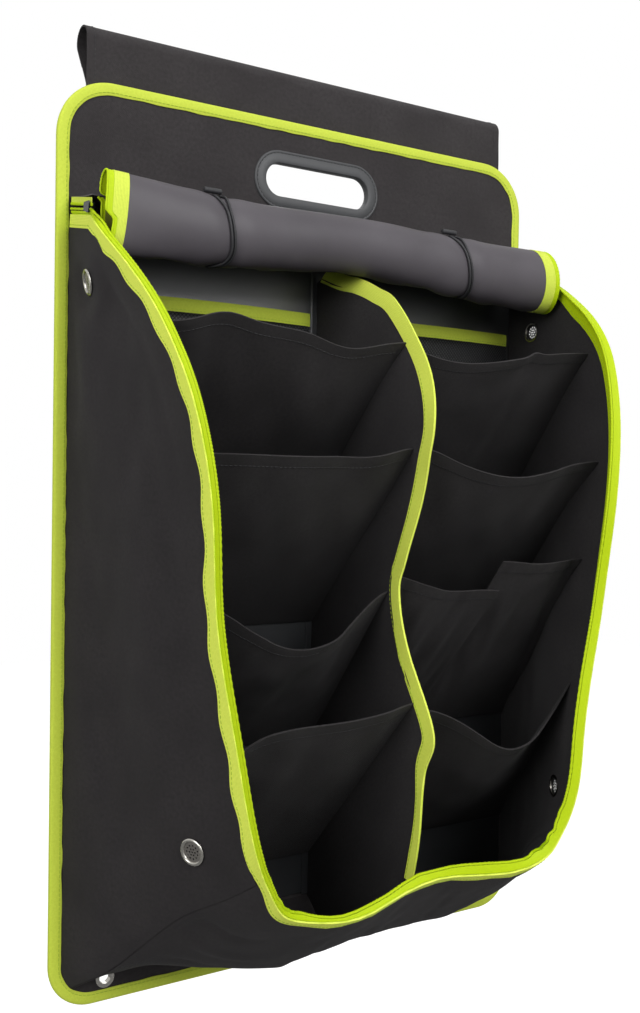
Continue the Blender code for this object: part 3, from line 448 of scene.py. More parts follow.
greyCoat = coatedCloth("grey coated polyester", "#403c41", "#4e4a4f", 0.60, 0.12, 0.12)
coatedLining = coatedCloth("black coated lining", "#1c1d1f", "#2d2f31", 0.34, 0.9, 0.15)


def plainGrain(name, dark, light, roughness, scale, strength, distance, **values):
    # Object coordinates, so it suits a kept CAD node: fine grain in colour and in height
    finish, tree, surface = newFinish(name, roughness, **values)
    place = addNode(tree, "ShaderNodeTexCoord").outputs["Object"]
    grain = noise(tree, place, scale, 4.0, Roughness=0.6)
    rough = mapRange(tree, grain, {3: max(0.02, roughness - 0.1), 4: roughness + 0.1})
    tree.links.new(rough, surface.inputs["Roughness"])
    cover(tree, surface, grain, dark, light, strength, distance, grain)
    return finish


# Moulded rubber: matt dark grey with a fine spark-eroded grain
rubber = plainGrain("moulded rubber trim", "#303133", "#404143", 0.55, 900.0, 0.35, 0.0002)
# Nickel plate on pressed brass: bright, faintly scratched
nickel = plainGrain("nickel plate", "#96948e", "#b8b5ae", 0.24, 600.0, 0.15, 0.0001, Metallic=1.0)
# The vents' screens are plated darker than their rings
screenMetal = plainGrain("dark nickel screen", "#7a7672", "#97938d", 0.35, 600.0, 0.15, 0.0001, Metallic=1.0)
# The inside of the vents' screens is painted near-black as shade
shadedScreenBack = plainGrain("screen back with painted shade", "#121315", "#222427", 0.5, 600.0, 0.15, 0.0001)
# Black enamel on zinc die casting: hard gloss, with a fine grain
blackZinc = plainGrain("black enamelled zinc", "#0b0e13", "#1b2129", 0.24, 500.0, 0.15, 0.0001, Metallic=0.6)
# Braided elastic cord: black polyester cover
blackCord = plainGrain("black elastic cord", "#101012", "#26262a", 0.62, 1400.0, 0.6, 0.0004)
# Compressed fibreboard: brown, matt
fibreboard = plainGrain("fibreboard", "#6e5737", "#8a6f49", 0.9, 300.0, 0.4, 0.0003)
# Knitted polyester yarn of the net: black, with hardly any shine
netYarn = plainGrain("black polyester net", "#0c0c0d", "#1d1d1f", 0.7, 1500.0, 0.3, 0.0002)
print("finishes made")


def dress(piece, node=(), body=rest):
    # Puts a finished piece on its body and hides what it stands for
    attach(piece, body)
    if node:
        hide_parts(*([node] if isinstance(node, str) else node))
    return piece


# Camera and cords come first

view = {
    "place": (-0.6865, -1.0927, -0.4323), "azimuth": 0.575454, "elevation": -0.0238165, "roll": 0.0159869,
    "lens": 40.577, "sensor": 36,
}


def makeCamera():
    azimuth, elevation, roll = view["azimuth"], view["elevation"], view["roll"]
    level = math.cos(elevation)
    ahead = Vector((math.sin(azimuth) * level, math.cos(azimuth) * level, math.sin(elevation)))
    right = Vector((math.cos(azimuth), -math.sin(azimuth), 0))
    up = right.cross(ahead)
    tilted = right * math.cos(roll) + up * math.sin(roll)
    above = up * math.cos(roll) - right * math.sin(roll)
    data = bpy.data.cameras.new("camera")
    data.lens = view["lens"]
    data.sensor_width = view["sensor"]
    camera = bpy.data.objects.new("camera", data)
    axes = Matrix((tilted, above, -ahead)).transposed().to_4x4()
    camera.matrix_world = Matrix.Translation(view["place"]) @ axes
    scene.collection.objects.link(camera)
    scene.camera = camera


makeCamera()

# Rolled-up cover: stations along it (share of the half width, drop, half height, half depth), its spiral,
# and the ears where its ends stand out over the rim (how far over and below it, drops behind and in front).
# band, strip and coil say how much of an end's margin the lime band and the zip tape take, and where the coil is
roll = {
    "sections": (
        (-0.950, 0.1860, 0.0415, 0.0125), (-0.512, 0.1921, 0.0345, 0.0235), (0.000, 0.1850, 0.0306, 0.0225),
        (0.483, 0.1927, 0.0342, 0.0253), (0.915, 0.1960, 0.0376, 0.0290),
    ),
    "pitch": 0.0030, "turns": 4.4, "thick": 0.0010, "taper": 0.10, "square": 0.08, "start": 0.042, "points": 400,
    "margin": 0.0203, "band": 0.665, "strip": 0.24, "coil": 0.95, "bandThick": 0.0016, "stripThick": 0.0009,
    "hingeDepth": 0.057, "hingeDrop": 0.170, "half": seamHalf - 0.0225,
    "ears": {-1: (0.0215, 0.0125, 0.174, 0.196), 1: (0.0095, 0.0095, 0.184, 0.190)},
    "earDepths": (0.060, 0.072), "earFade": 0.007, "backReach": {-1: 0.0065, 1: 0.0},
}
# Ties: share of the half width, lean in metres at stations round the loop, cord, bight, pinch, tail and toggle bar
tie = {
    "places": {"left": -0.512, "right": 0.483}, "stations": (0.0, 0.22, 0.52, 1.0),
    "runs": {"left": (-0.034, -0.027, 0.0, -0.012), "right": (-0.004, -0.002, 0.0, -0.018)},
    "start": 0.22, "turn": 0.80, "short": 0.110, "points": 60, "spread": 48,
    "diameter": 0.0026, "apart": 0.0034, "bight": 0.0112, "pinch": 0.0022, "tail": 0.0022, "tailGap": 0.18,
    "toggle": 0.0055, "toggleLength": 0.019, "shift": 0.006,
}
# Creases low on the roll's front: x and metres round the roll at both ends, width and height
rollCreases = (
    (-0.235, 0.050, -0.190, 0.036, 0.006, -0.0024), (-0.190, 0.052, -0.160, 0.040, 0.005, 0.0018),
    (-0.150, 0.056, -0.118, 0.040, 0.005, -0.0024), (-0.120, 0.048, -0.085, 0.036, 0.006, 0.0019),
    (-0.060, 0.036, -0.010, 0.048, 0.008, -0.0019), (0.020, 0.034, 0.070, 0.050, 0.007, 0.0019),
    (0.080, 0.052, 0.125, 0.034, 0.007, -0.0024), (0.120, 0.030, 0.150, 0.054, 0.005, -0.0024),
    (0.165, 0.056, 0.205, 0.034, 0.006, 0.0025), (0.190, 0.030, 0.240, 0.046, 0.007, -0.0023),
    (0.215, 0.056, 0.255, 0.040, 0.006, 0.0018),
)


def rollSection(x):
    # Drop of the roll's middle, half height and half depth at x, with the stations' corners rounded off
    share, *sizes = np.array(roll["sections"]).T
    near = (np.asarray(x, float)[..., None] + np.linspace(-0.02, 0.02, 9)) / panel["half"]
    return [np.interp(near, share, size).mean(-1) for size in sizes]


def rollPoint(x, turn, offset=0.0):
    # A flattened spiral about a line that bends with x: an ellipse whose size falls by the pitch each turn
    drop, tall, flat = rollSection(x)
    begin = -np.arcsin((drop - roll["hingeDrop"]) / tall)
    shrink = offset - roll["pitch"] * turn / math.tau + rollFolds(x, turn) * smoothStep((turn - 0.25) / 1.2)
    depth = roll["hingeDepth"] + flat * np.cos(begin) - (flat + shrink) * np.cos(begin + turn)
    return at(x, depth, -drop - (tall + shrink) * np.sin(begin + turn))


def tiePlace(word, turn):
    # The tie's x at an angle round the roll: it leans as it goes round, with the stations' corners rounded off
    share = (np.remainder(turn, math.tau) - tie["start"]) / (tie["turn"] * math.tau)
    near = share + np.linspace(-0.08, 0.08, 5)[:, None].reshape(-1, *[1] * share.ndim)
    return tie["places"][word] * panel["half"] + np.interp(near, tie["stations"], tie["runs"][word]).mean(0)


def rollFolds(x, turn):
    # Pinches under the ties with a swell beside them, soft waves along the roll, and its creases
    x, turn = np.broadcast_arrays(np.asarray(x, float), np.asarray(turn, float))
    folds = 0.0007 * ripple(x, 0.045 * np.sin(turn), 0.13, 5) * (0.4 + 0.6 * np.sin(turn / 2) ** 2)
    for word in tie["places"]:
        near = np.abs(x - tiePlace(word, turn))
        folds = folds - tie["pinch"] * hill(near, 0, 0.010) + 0.0008 * hill(near, 0.024, 0.012)
    low = (np.remainder(turn, math.tau) - 0.5) * 0.030  # metres round the roll from its rear
    return folds + creases(x, low, rollCreases)


def rollOut(path):
    # Outward directions of the roll at points round it
    drop, tall, flat = rollSection(path[:, 0])
    begin = -np.arcsin((drop - roll["hingeDrop"]) / tall)
    y = path[:, 1] - (panelFace - roll["hingeDepth"] - flat * np.cos(begin))
    z = path[:, 2] + drop
    return unit(join(0.0, y / flat**2, z / tall**2))


def makeTie(word):
    # Elastic loop: a strand round the roll, a bight round the toggle's neck, and the strand back beside it
    seat = roll["thick"] / 2 + 2 * gap
    out = seat + tie["diameter"] / 2
    last = tie["start"] + tie["turn"] * math.tau
    end = np.array([last])
    endX = tiePlace(word, end)
    count, spread = tie["points"], tie["spread"]
    turn = np.linspace(tie["start"], last - tie["short"], count)
    wider = smoothStep((np.arange(count) - spread) / (count - 1 - spread))[:, None]
    half = (tie["apart"] + (tie["bight"] - tie["apart"]) * wider) / 2
    middle = rollPoint(tiePlace(word, turn), turn, out)
    ahead, normal = unit(np.gradient(middle, axis=0)), rollOut(middle)
    across = unit(np.cross(ahead, normal))
    strand, far = middle - half * across, middle + half * across
    # The bight is a half circle laid on the roll, which falls away beyond the strands' ends
    radius = tie["bight"] / 2
    angle = np.linspace(0, math.pi, 13)[1:-1, None]
    reach = radius * np.sin(angle)
    pace = np.linalg.norm(middle[-1] - middle[-2]) / (turn[1] - turn[0])  # metres per radian round the roll
    beyond = rollPoint(endX, turn[-1] + reach[:, 0] / pace, out) - rollPoint(endX, turn[-1:], out)
    fall = (beyond @ normal[-1])[:, None] * normal[-1]
    bight = strand[-1] + ahead[-1] * reach + across[-1] * radius * (1 - np.cos(angle)) + fall
    route = np.vstack([strand, bight, far[::-1]])
    loop = tube("tie_cord_" + word, route, rollOut(route), tie["diameter"], tie["diameter"], blackCord)
    dress(loop, "tie_loop_" + word, "rolled_cover")
    turn = np.linspace(last + tie["tailGap"], math.tau - tie["tailGap"], 16)
    route = rollPoint(endX, turn, seat + tie["tail"] / 2)
    tail = tube("tie_tail_cord_" + word, route, rollOut(route), tie["tail"], tie["tail"], blackCord)
    dress(tail, "tie_tail_" + word, "rolled_cover")
    knot = rollPoint(endX, end, out)
    outward = rollOut(knot)[0]
    centre = knot[0] + outward * (tie["diameter"] / 2 + gap + tie["toggle"] / 2)
    makeToggle(word, centre - (tie["shift"], 0, 0), outward)


def makeToggle(word, centre, outward):
    # Bar of stiffened cord: full section along it, rounded at both ends with a cut face
    half = tie["toggleLength"] / 2
    along = np.array([-1, -0.985, -0.95, -0.88, -0.4, 0.0, 0.4, 0.88, 0.95, 0.985, 1]) * half
    full = np.array([0.62, 0.80, 0.93, 1.0, 1.0, 0.97, 1.0, 1.0, 0.93, 0.80, 0.62])
    path = centre + along[:, None] * np.array([1.0, 0, 0])
    section = roundSection(tie["toggle"], tie["toggle"], 16) * full[:, None, None]
    side, out = axesAlong(path, outward)
    bar = sweep("toggle_bar_" + word, path, side, out, section, blackCord, smooth=60)
    dress(bar, "toggle_" + word, "toggle_" + word)


for word in tie["places"]:
    makeTie(word)


def earFade(turn):
    # The ears are only on the outer turn and fade out in the next
    return smoothStep((1.42 - turn / math.tau) / 0.3)


def earAt(side, points, turn):
    # How far an end of the roll stands out at points round its outer turn
    over, under, rear, front = roll["ears"][side]
    depth = panelFace - points[:, 1]
    level = np.interp(depth, roll["earDepths"], (-rear, -front))
    over = over + roll["backReach"][side] * smoothStep((0.076 - depth) / 0.018)
    reach = under + (over - under) * smoothStep((points[:, 2] - level) / roll["earFade"])
    return reach * earFade(turn)


def makeRolledCover():
    turn = np.linspace(roll["start"], roll["turns"] * math.tau, roll["points"])
    reach = lengthAlong(rollPoint(np.full(len(turn), roll["half"]), turn))
    half = roll["half"] - roll["taper"] * np.clip(reach - roll["square"], 0, None)
    edges, inners = {}, {}
    for side in (-1, 1):
        edges[side] = half + earAt(side, rollPoint(side * half, turn), turn)
        square = half + roll["ears"][side][0] * earFade(turn)
        inners[side] = np.minimum(square - roll["margin"], edges[side] - 0.4 * roll["margin"])
    share = np.linspace(0, 1, 101)[None, :]
    left, right = -inners[-1][:, None], inners[1][:, None]
    grid = rollPoint(left + (right - left) * share, turn[:, None])
    cover = shell("rolled_cover_cloth", grid, roll["thick"], greyCoat)
    dress(cover, "rolled_cover", "rolled_cover")
    print("cover", round(float(reach[-1]), 3))
    for side, word in sides:
        inner, total = inners[side][:, None], (edges[side] - inners[side])[:, None]
        band = inner - 0.001 + (roll["band"] * total + 0.001) * np.linspace(0, 1, 6)
        rows = rollPoint(side * band, turn[:, None], 0.0002)
        flip = bool((gridNormal(rows)[60] * rollOut(rows[60])).sum() < 0)
        name = "cover_binding_" + word
        # The band's inner face takes the olive tape with painted shade
        piece = shell(name, rows, roll["bandThick"], dullBinding, other=shadedOliveBinding, flip=flip)
        dress(piece, "cover_zip_tape_" + word, "rolled_cover")
        strip = inner + total * (roll["band"] + roll["strip"] * np.linspace(0, 1, 5))
        rows = rollPoint(side * strip, turn[:, None])
        dress(shell("cover_zip_strip_" + word, rows, roll["stripThick"], limeZip), (), "rolled_cover")
        edge = rollPoint(side * (inner + total * roll["coil"])[:, 0], turn)
        dress(coilAlong("cover_coil_" + word, edge, rollOut(edge), 0.0024), (), "rolled_cover")


def coilAlong(name, path, out, diameter, pitch=0.0026):
    # Zip coil: a flattened tube whose thickness beats once for every pair of teeth, drawn 2.6 mm apart
    length = lengthAlong(path)[-1]
    count = int(length / pitch) * 4
    both = evenly(np.hstack([path, out]), count + 1)
    reach = np.arange(count + 1) / 4 * math.tau
    swell = 1 + 0.16 * np.cos(reach)
    side, out = axesAlong(both[:, :3], both[:, 3:])
    section = roundSection(diameter, diameter * 0.8, 8) * swell[:, None, None]
    return sweep(name, both[:, :3], side, out, section, limeZip, smooth=80)


makeRolledCover()
print("rolled cover made")


# Panel


def roundedOutline(inset, steps=14):
    # Rounded rectangle moved inwards, anticlockwise from the lower right, as (x, z)
    half, low, high = panel["half"], panel["bottomRadius"], panel["topRadius"]
    lower = (half - low, panel["bottom"] + low, low - inset)
    upper = (half - high, panel["top"] - high, high - inset)
    corners = ((lower, 1, -90), (upper, 1, 0), (upper, -1, 90), (lower, -1, 180))
    runs = []
    for (x, z, radius), side, start in corners:
        turn = np.radians(np.linspace(start, start + 90, steps + 1))
        runs.append(np.stack([side * x + radius * np.cos(turn), z + radius * np.sin(turn)], -1))
    return np.vstack(runs)


def stadium(width, height, steps=16):
    radius = height / 2
    turn = np.radians(np.linspace(-90, 90, steps + 1))
    right = np.stack([width / 2 - radius + radius * np.cos(turn), radius * np.sin(turn)], -1)
    return np.vstack([right, -right]) - (0, panel["slotDrop"])


def insidePanel(x, z, inset):
    # Distance inside the rounded rectangle, negative outside
    top, bottom, half = panel["top"] - inset, panel["bottom"] + inset, panel["half"] - inset
    middle = (top + bottom) / 2
    radius = np.where(z > middle, panel["topRadius"], panel["bottomRadius"]) - inset
    over = np.abs(x) - half + radius
    rise = np.abs(z - middle) - (top - bottom) / 2 + radius
    beyond = np.hypot(np.maximum(over, 0), np.maximum(rise, 0))
    return radius - beyond - np.minimum(np.maximum(over, rise), 0)


def outsideSlot(x, z, grow):
    radius = panel["slotHeight"] / 2
    over = np.maximum(np.abs(x) - panel["slotWidth"] / 2 + radius, 0)
    return np.hypot(over, z + panel["slotDrop"]) - radius - grow


eyelet = {"side": 0.241, "height": -0.939}  # corner eyelets' middles


def outsideEyelets(x, z, radius):
    return np.hypot(np.abs(x) - eyelet["side"], z - eyelet["height"]) - radius


def plate(name, region, low, high, rear, front, finish, wave=0.0, cell=None, seed=1, other=None):
    # Upright cloth over a grid: squares outside the region go, and points beyond its edge are drawn onto it
    cell = cell or panel["cell"]
    xs = np.linspace(low[0], high[0], round((high[0] - low[0]) / cell) + 1)
    zs = np.linspace(low[1], high[1], round((high[1] - low[1]) / cell) + 1)
    x, z = np.meshgrid(xs, zs)
    middle = region((x[1:, 1:] + x[:-1, :-1]) / 2, (z[1:, 1:] + z[:-1, :-1]) / 2)
    step = 0.0002
    for _ in range(3):
        off = np.minimum(region(x, z), 0)
        slopeX = (region(x + step, z) - region(x - step, z)) / (2 * step)
        slopeZ = (region(x, z + step) - region(x, z - step)) / (2 * step)
        near = (off < 0) & (off > -1.5 * cell)
        size = np.maximum(slopeX**2 + slopeZ**2, 0.2)
        x = np.where(near, x - off * slopeX / size, x)
        z = np.where(near, z - off * slopeZ / size, z)
    y = (rear + front) / 2 + wave * ripple(x, z, 0.09, seed)
    return shell(name, join(x, y, z), rear - front, finish, keep=middle > 0, other=other)


# How far each cloth stays inside the panel's edge, and clear of the slot and of the eyelets
panelCuts = {"front": (0.0015, 0.0012, 0.0073), "rear": (0.0128, 0.0146, 0.0103)}


def panelRegion(word, x, z):
    inset, slot, hole = panelCuts[word]
    return np.minimum.reduce([insidePanel(x, z, inset), outsideSlot(x, z, slot), outsideEyelets(x, z, hole)])


def makePanel():
    def front(x, z):
        return panelRegion("front", x, z)

    def rear(x, z):
        return np.minimum(panelRegion("rear", x, z), -panel["liningTop"] - z)

    low, high = (-panel["half"], -0.965), (panel["half"], panel["top"])
    fabric = plate("panel_cloth", front, low, high, fabricRear, panelFace, charcoal, 0.00012)
    dress(fabric, "front_panel_fabric")
    start = boardRear + gap
    low, high, thick = (-0.29, -0.955), (0.29, -0.07), cloth["thick"]
    lining = plate("rear_lining_cloth", rear, low, high, start + thick, start, charcoal, 0.00008, seed=2)
    dress(lining, "rear_lining")
    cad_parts["stiffener_board"].data.materials[0] = fibreboard


# Folded tape: radius of its back, how much its legs are puffed, its wobble, and how far in its stitches are
fold = {"bend": 0.0022, "puff": 0.00035, "wobble": 0.0004, "stitch": 0.0026}


def makeEdgeBinding():
    # Tape folded round the edge: a U with a round back, its legs puffed a little between edge and stitching
    x, z = evenly(looped(roundedOutline(0)), 620)[:-1].T
    path = join(x, (bindingRear + bindingFront) / 2, z)
    side, out = axesAlong(path, toFront, closed=True)
    middle = path.mean(0)
    side = side * np.sign(((middle - path) * side).sum(1, keepdims=True))
    half, width, thick = (bindingRear - bindingFront) / 2, panel["bindingWidth"], panel["bindingThick"]
    bend, inside = fold["bend"], half - thick
    leg = np.array([
        (width, half - 0.0003), (width - 0.0006, half), (width * 0.62, half + fold["puff"]),
        (width * 0.3, half + 0.0003), (bend, half),
    ])
    turn = np.radians([60, 30, 0, -30, -60])
    nose = np.stack([bend - bend * np.cos(turn), half * np.sin(turn)], -1)
    inner = np.array([(width, -inside), (0.0015, -inside), (0.0015, inside), (width, inside)])
    section = np.vstack([leg, nose, leg[::-1] * (1, -1), inner])
    wobble = fold["wobble"] * ripple(x, z, 0.03, 8)
    full = np.repeat(section[None], len(path), 0)
    full[..., 0] += wobble[:, None] * (section[:, 0] > width - 0.001)
    binding = sweep("panel_binding", path, side, out, full, limeBinding, closed=True)
    dress(binding, "edge_binding")
    loop = looped(path + side * (width - fold["stitch"]))
    rows = [(loop + np.multiply(way, half + 0.00045), way) for way in (toFront, toRear)]
    dress(stitches("binding_stitches", rows, limeThread), ())


# Ring round the slot: its width, how far it stands out, where its groove is, and its lip's thickness
trim = {"width": 0.014, "proud": 0.0018, "groove": 0.0030, "lip": 0.0008}


def makeHandleTrims():
    # Moulded ring round the slot: a flat face with a stitch groove, rounded edges, and a lip into the slot
    x, z = evenly(looped(stadium(panel["slotWidth"], panel["slotHeight"])), 180)[:-1].T
    middle, width, lipThick = (boardFront + boardRear) / 2, trim["width"], trim["lip"]
    groove = width - trim["groove"]
    seats = (("front", panelFace - gap, toFront, 0.0), ("rear", boardRear + gap, toRear, cloth["thick"]))
    for word, seat, way, under in seats:
        thick = trim["proud"] + under
        path = join(x, seat, z)
        side, out = axesAlong(path, way, closed=True)
        centre = np.array([0, seat, -panel["slotDrop"]])
        side = side * np.sign(((path - centre) * side).sum(1, keepdims=True))
        lip = -abs(middle - seat) + 0.0002
        section = np.array([
            (0.0, lip), (0.0, thick - 0.0009), (0.00025, thick - 0.0003), (0.0009, thick), (0.004, thick + 0.0002),
            (groove - 0.0009, thick), (groove - 0.0004, thick - 0.0004), (groove + 0.0004, thick - 0.0004),
            (groove + 0.0009, thick), (width - 0.0008, thick - 0.0002), (width - 0.0002, thick - 0.0008),
            (width, 0.0), (lipThick, 0.0), (lipThick, lip),
        ])
        ring = sweep("handle_ring_" + word, path, side, out, section, rubber, closed=True, smooth=50)
        dress(ring, "handle_trim_" + word)
        row = looped(path + side * groove + out * (thick - 0.0003))
        dress(stitches("handle_stitches_" + word, [(row, way)], blackThread), ())


# Half the sleeve's length, its tunnel's radius, and how far down its join and its hems are
sleeve = {"half": 0.268, "tunnel": 0.013, "join": 0.046, "hem": 0.070, "sideHem": 0.010}


def makeSleeve():
    # One cloth over the pole: up the front, round the tunnel, down the rear to the join, then flat to the hem
    thick, radius = cloth["thick"], sleeve["tunnel"] + cloth["thick"] / 2
    frontY, rearY = sleeveFront + thick / 2, sleeveFront + 1.5 * thick + gap
    foot = np.array([rearY, -sleeve["join"]])
    reach = math.hypot(*foot)
    end = math.atan2(foot[1], foot[0]) + math.acos(radius / reach)
    turn = np.linspace(math.pi, end, 40)
    over = np.stack([radius * np.cos(turn), radius * np.sin(turn)], -1)
    rise = np.linspace(-sleeve["hem"], 0, 22, endpoint=False)
    up = np.stack([np.full(22, frontY), rise], -1)
    share = np.linspace(0, 1, 16)[1:, None]
    down = over[-1] * (1 - share) + foot * share
    flat = np.stack([np.full(8, rearY), np.linspace(-sleeve["join"], -sleeve["hem"], 9)[1:]], -1)
    profile = np.vstack([up, over, down, flat])
    xs = np.linspace(-sleeve["half"], sleeve["half"], 130)
    grid = join(xs, profile[:, :1], profile[:, 1:])
    along = lengthAlong(profile)[:, None] * np.ones(len(xs))
    free = smoothStep((profile[:, 1:] + sleeve["hem"] - 0.004) / 0.02) * smoothStep(-profile[:, 1:] / 0.004 + 1)
    grid[..., 1] -= 0.0004 * ripple(grid[..., 0], along, 0.05, 11) * free * (profile[:, :1] < 0)
    hem = smoothStep((np.abs(grid[..., 0]) - sleeve["half"] + sleeve["sideHem"] + 0.001) / 0.001)
    piece = shell("sleeve_cloth", grid, thick + 0.0005 * hem, charcoal)
    dress(piece, "pole_sleeve")
    flat = (2 * sleeve["half"], float(lengthAlong(profile)[-1]))
    rows = []
    y, z = profile[:60].T
    for side in (-1, 1):
        out = unit(join(0.0, y, np.maximum(z, 0)))
        hemLine = join(side * (sleeve["half"] - sleeve["sideHem"] + 0.002), y, z)
        rows.append((hemLine + out * (thick / 2 + 0.0003), out))
    back = join(xs, sleeveFront - 0.0001, -sleeve["join"]) + (0, 2 * thick + gap + 0.0002, 0)
    dress(stitches("sleeve_stitches", rows + [(back, toRear)], blackThread), ())


makePanel()
makeEdgeBinding()
makeHandleTrims()
makeSleeve()
for side, word in sides:
    for kind in ("corner_eyelet_", "corner_washer_"):
        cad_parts[kind + word].data.materials[0] = nickel
print("panel made")


# Box: the opening's outline, and what hangs from it

box = {
    "depth": 0.213, "drop": 0.178, "height": 0.652, "band": 0.013, "bandThick": 0.0018, "closedTape": 0.003,
    "coil": 0.003, "chainGap": 0.0018, "fanDrop": 0.550, "rise": 0.043, "sag": 0.050, "liningTop": 0.176,
    "steps": 16, "corner": 11,
}
# Share of the depth, share of the opening's height, inset from the seam
openingOutline = np.array([
    (0.023, 0.001, 0.0000), (0.263, 0.017, 0.0000), (0.404, 0.032, 0.0020), (0.600, 0.073, 0.0065),
    (0.770, 0.118, 0.0135), (0.890, 0.178, 0.0185), (0.995, 0.285, 0.0305), (1.037, 0.415, 0.0448),
    (0.995, 0.586, 0.0565), (1.005, 0.755, 0.0765), (1.019, 0.885, 0.0935), (1.000, 0.962, 0.1165),
    (0.986, 0.998, 0.1565),
])
# How the left shoulder hangs back and down: outline point, shares of the depth and the height
leftSag = ((2, -0.039, 0.013), (3, -0.080, 0.011), (4, -0.080, 0.016), (5, -0.040, 0.012))
lowerCorner = (panel["half"] - panel["bottomRadius"], panel["bottom"] + panel["bottomRadius"])


def openingSide(side):
    shape = openingOutline.copy()
    if side < 0:
        for point, behind, below in leftSag:
            shape[point, :2] += (behind, below)
    height = -box["drop"] - shape[:, 1] * box["height"]
    return at(side * (seamHalf - shape[:, 2]), shape[:, 0] * box["depth"], height)


def openingLine():
    right, left, steps = openingSide(1), openingSide(-1), box["steps"]
    share = np.linspace(0, 1, steps, endpoint=False)[:, None]
    closed = right[0] * (1 - share) + right[1] * share
    curve = throughPoints(np.vstack([right[1:], left[1:][::-1]]), steps)
    return np.vstack([closed, curve, closed[::-1] * (-1, 1, 1)])


def openingFrame(line):
    # Forward tangents, directions into the gusset, and directions into the opening
    tangent = unit(np.gradient(line, axis=0))
    mirror = np.sign(line[:, 0])
    lowest = panel["bottom"] + panel["bottomRadius"] / 2
    beside = at(mirror * seamHalf, 0.0, np.maximum(line[:, 2] - 0.060, lowest))
    below = at(line[:, 0], box["depth"] / 2, lowest)
    drop = (-box["drop"] - line[:, 2]) / box["height"]
    share = np.clip((drop - 0.90) / 0.10, 0, 1)[:, None]
    back = beside * (1 - share) + below * share - line
    back = squareTo(back, tangent)
    return tangent, back, unit(np.cross(back, tangent))


# Lower edge of the opening, which the soft floor lets sag in places: x and rise
lowerWave = (
    (-0.17, 0.0), (-0.13, -0.006), (-0.09, -0.012), (-0.06, -0.009), (-0.03, 0.002), (0.0, 0.009), (0.025, 0.011),
    (0.06, 0.006), (0.12, -0.003), (0.15, 0.0),
)
# Right edge of the opening, pressed outwards by what hangs in it: height and how far
rightWave = (
    (-0.88, 0.0), (-0.82, 0.008), (-0.76, 0.008), (-0.70, 0.004), (-0.64, 0.004), (-0.57, 0.007), (-0.48, 0.004),
    (-0.40, 0.002), (-0.30, 0.001), (-0.20, 0.0),
)


def lowerRise(line):
    x, rise = throughPoints(lowerWave, 8).T
    return np.interp(line[:, 0], x, rise) * (line[:, 2] < -0.80)


def softened(points, reach, width):
    # Each point drawn to the mean of its neighbours along the line, but not near the line's ends
    weight = hill(reach[:, None], reach, width) * np.gradient(reach)
    mean = (weight / weight.sum(1, keepdims=True)) @ points
    fromEnd = np.minimum(reach, reach[-1] - reach)[:, None]
    return points + (mean - points) * smoothStep((fromEnd - 0.08) / 0.05)


line = openingLine()
line[:, 2] += lowerRise(line)
line[:, 0] += np.interp(line[:, 2], *throughPoints(rightWave, 8).T) * (line[:, 0] > 0.12)
reach = lengthAlong(line)
line = softened(line, reach, 0.018)
tangent, back, inward = openingFrame(line)
back = squareTo(softened(back, reach, 0.025), tangent)
inward = unit(np.cross(back, tangent))
reach = lengthAlong(line)
gussetEdge = line + back * (box["band"] + 0.0010)
sideCount = box["corner"] * box["steps"] - 5
# Front edges of the two gussets, both as if on the right
gussetSides = {1: gussetEdge[:sideCount], -1: gussetEdge[::-1][:sideCount] * (-1, 1, 1)}
cornerInset = panel["bindingWidth"] + 0.0010
tipRadius = (panel["bottomRadius"] - cornerInset) * math.sqrt(0.5)
tipHeight = lowerCorner[1] - tipRadius


def innerEdgeHalf(height, inset):
    down = np.clip(lowerCorner[1] - height, 0, None)
    radius = panel["bottomRadius"] - inset
    return lowerCorner[0] + np.sqrt(np.clip(radius**2 - down**2, 0, None))


def seamOf(edge):
    # The gusset's seam on the panel, point by point beside its front edge, fanned into the corner
    below = edge[:, 2] + box["fanDrop"]
    height = np.where(below > 0, edge[:, 2], below * (tipHeight + box["fanDrop"]) / below[-1] - box["fanDrop"])
    return at(innerEdgeHalf(height, cornerInset), 0.0010, height)


seamLines = {side: seamOf(edge) for side, edge in gussetSides.items()}
# Vents: depth and drop of their middles, and their ring: radii of its crest, bore, screen and holes, the screen's
# rows (count and radius), and the sections of the ring outside and of the washer inside
vents = {"top": (0.045, 0.250), "low": (0.156, 0.770)}
ventRing = {
    "middle": 0.0110, "bore": 0.0097, "screen": 0.0094, "hole": 0.00085,
    "rows": ((1, 0.0), (6, 0.0031), (11, 0.0062)),
    "ring": (
        (0.0020, 0.0), (0.0021, 0.0004), (0.0018, 0.0009), (0.0010, 0.0014), (0.0, 0.0016), (-0.0009, 0.0013),
        (-0.0014, 0.0008), (-0.0018, 0.0002), (-0.0020, -0.0026), (-0.0014, -0.0026), (-0.0014, -0.0002),
        (-0.0010, 0.0),
    ),
    "back": ((0.0010, 0.0), (0.0010, -0.0008), (-0.0002, -0.0011), (-0.0013, -0.0008), (-0.0013, 0.0)),
}
ventTilt = {-1: (0.22, 0.16), 1: (0.0, 0.0)}  # how the cloth at a top vent leans, with depth and with height


def seamBow(share):
    # How far the seam between gusset and bottom stands above a straight line, from the wall (0) to the rim (1)
    return 0.009 * hill(share, 0.62, 0.20) - 0.004 * hill(share, 0.22, 0.14)


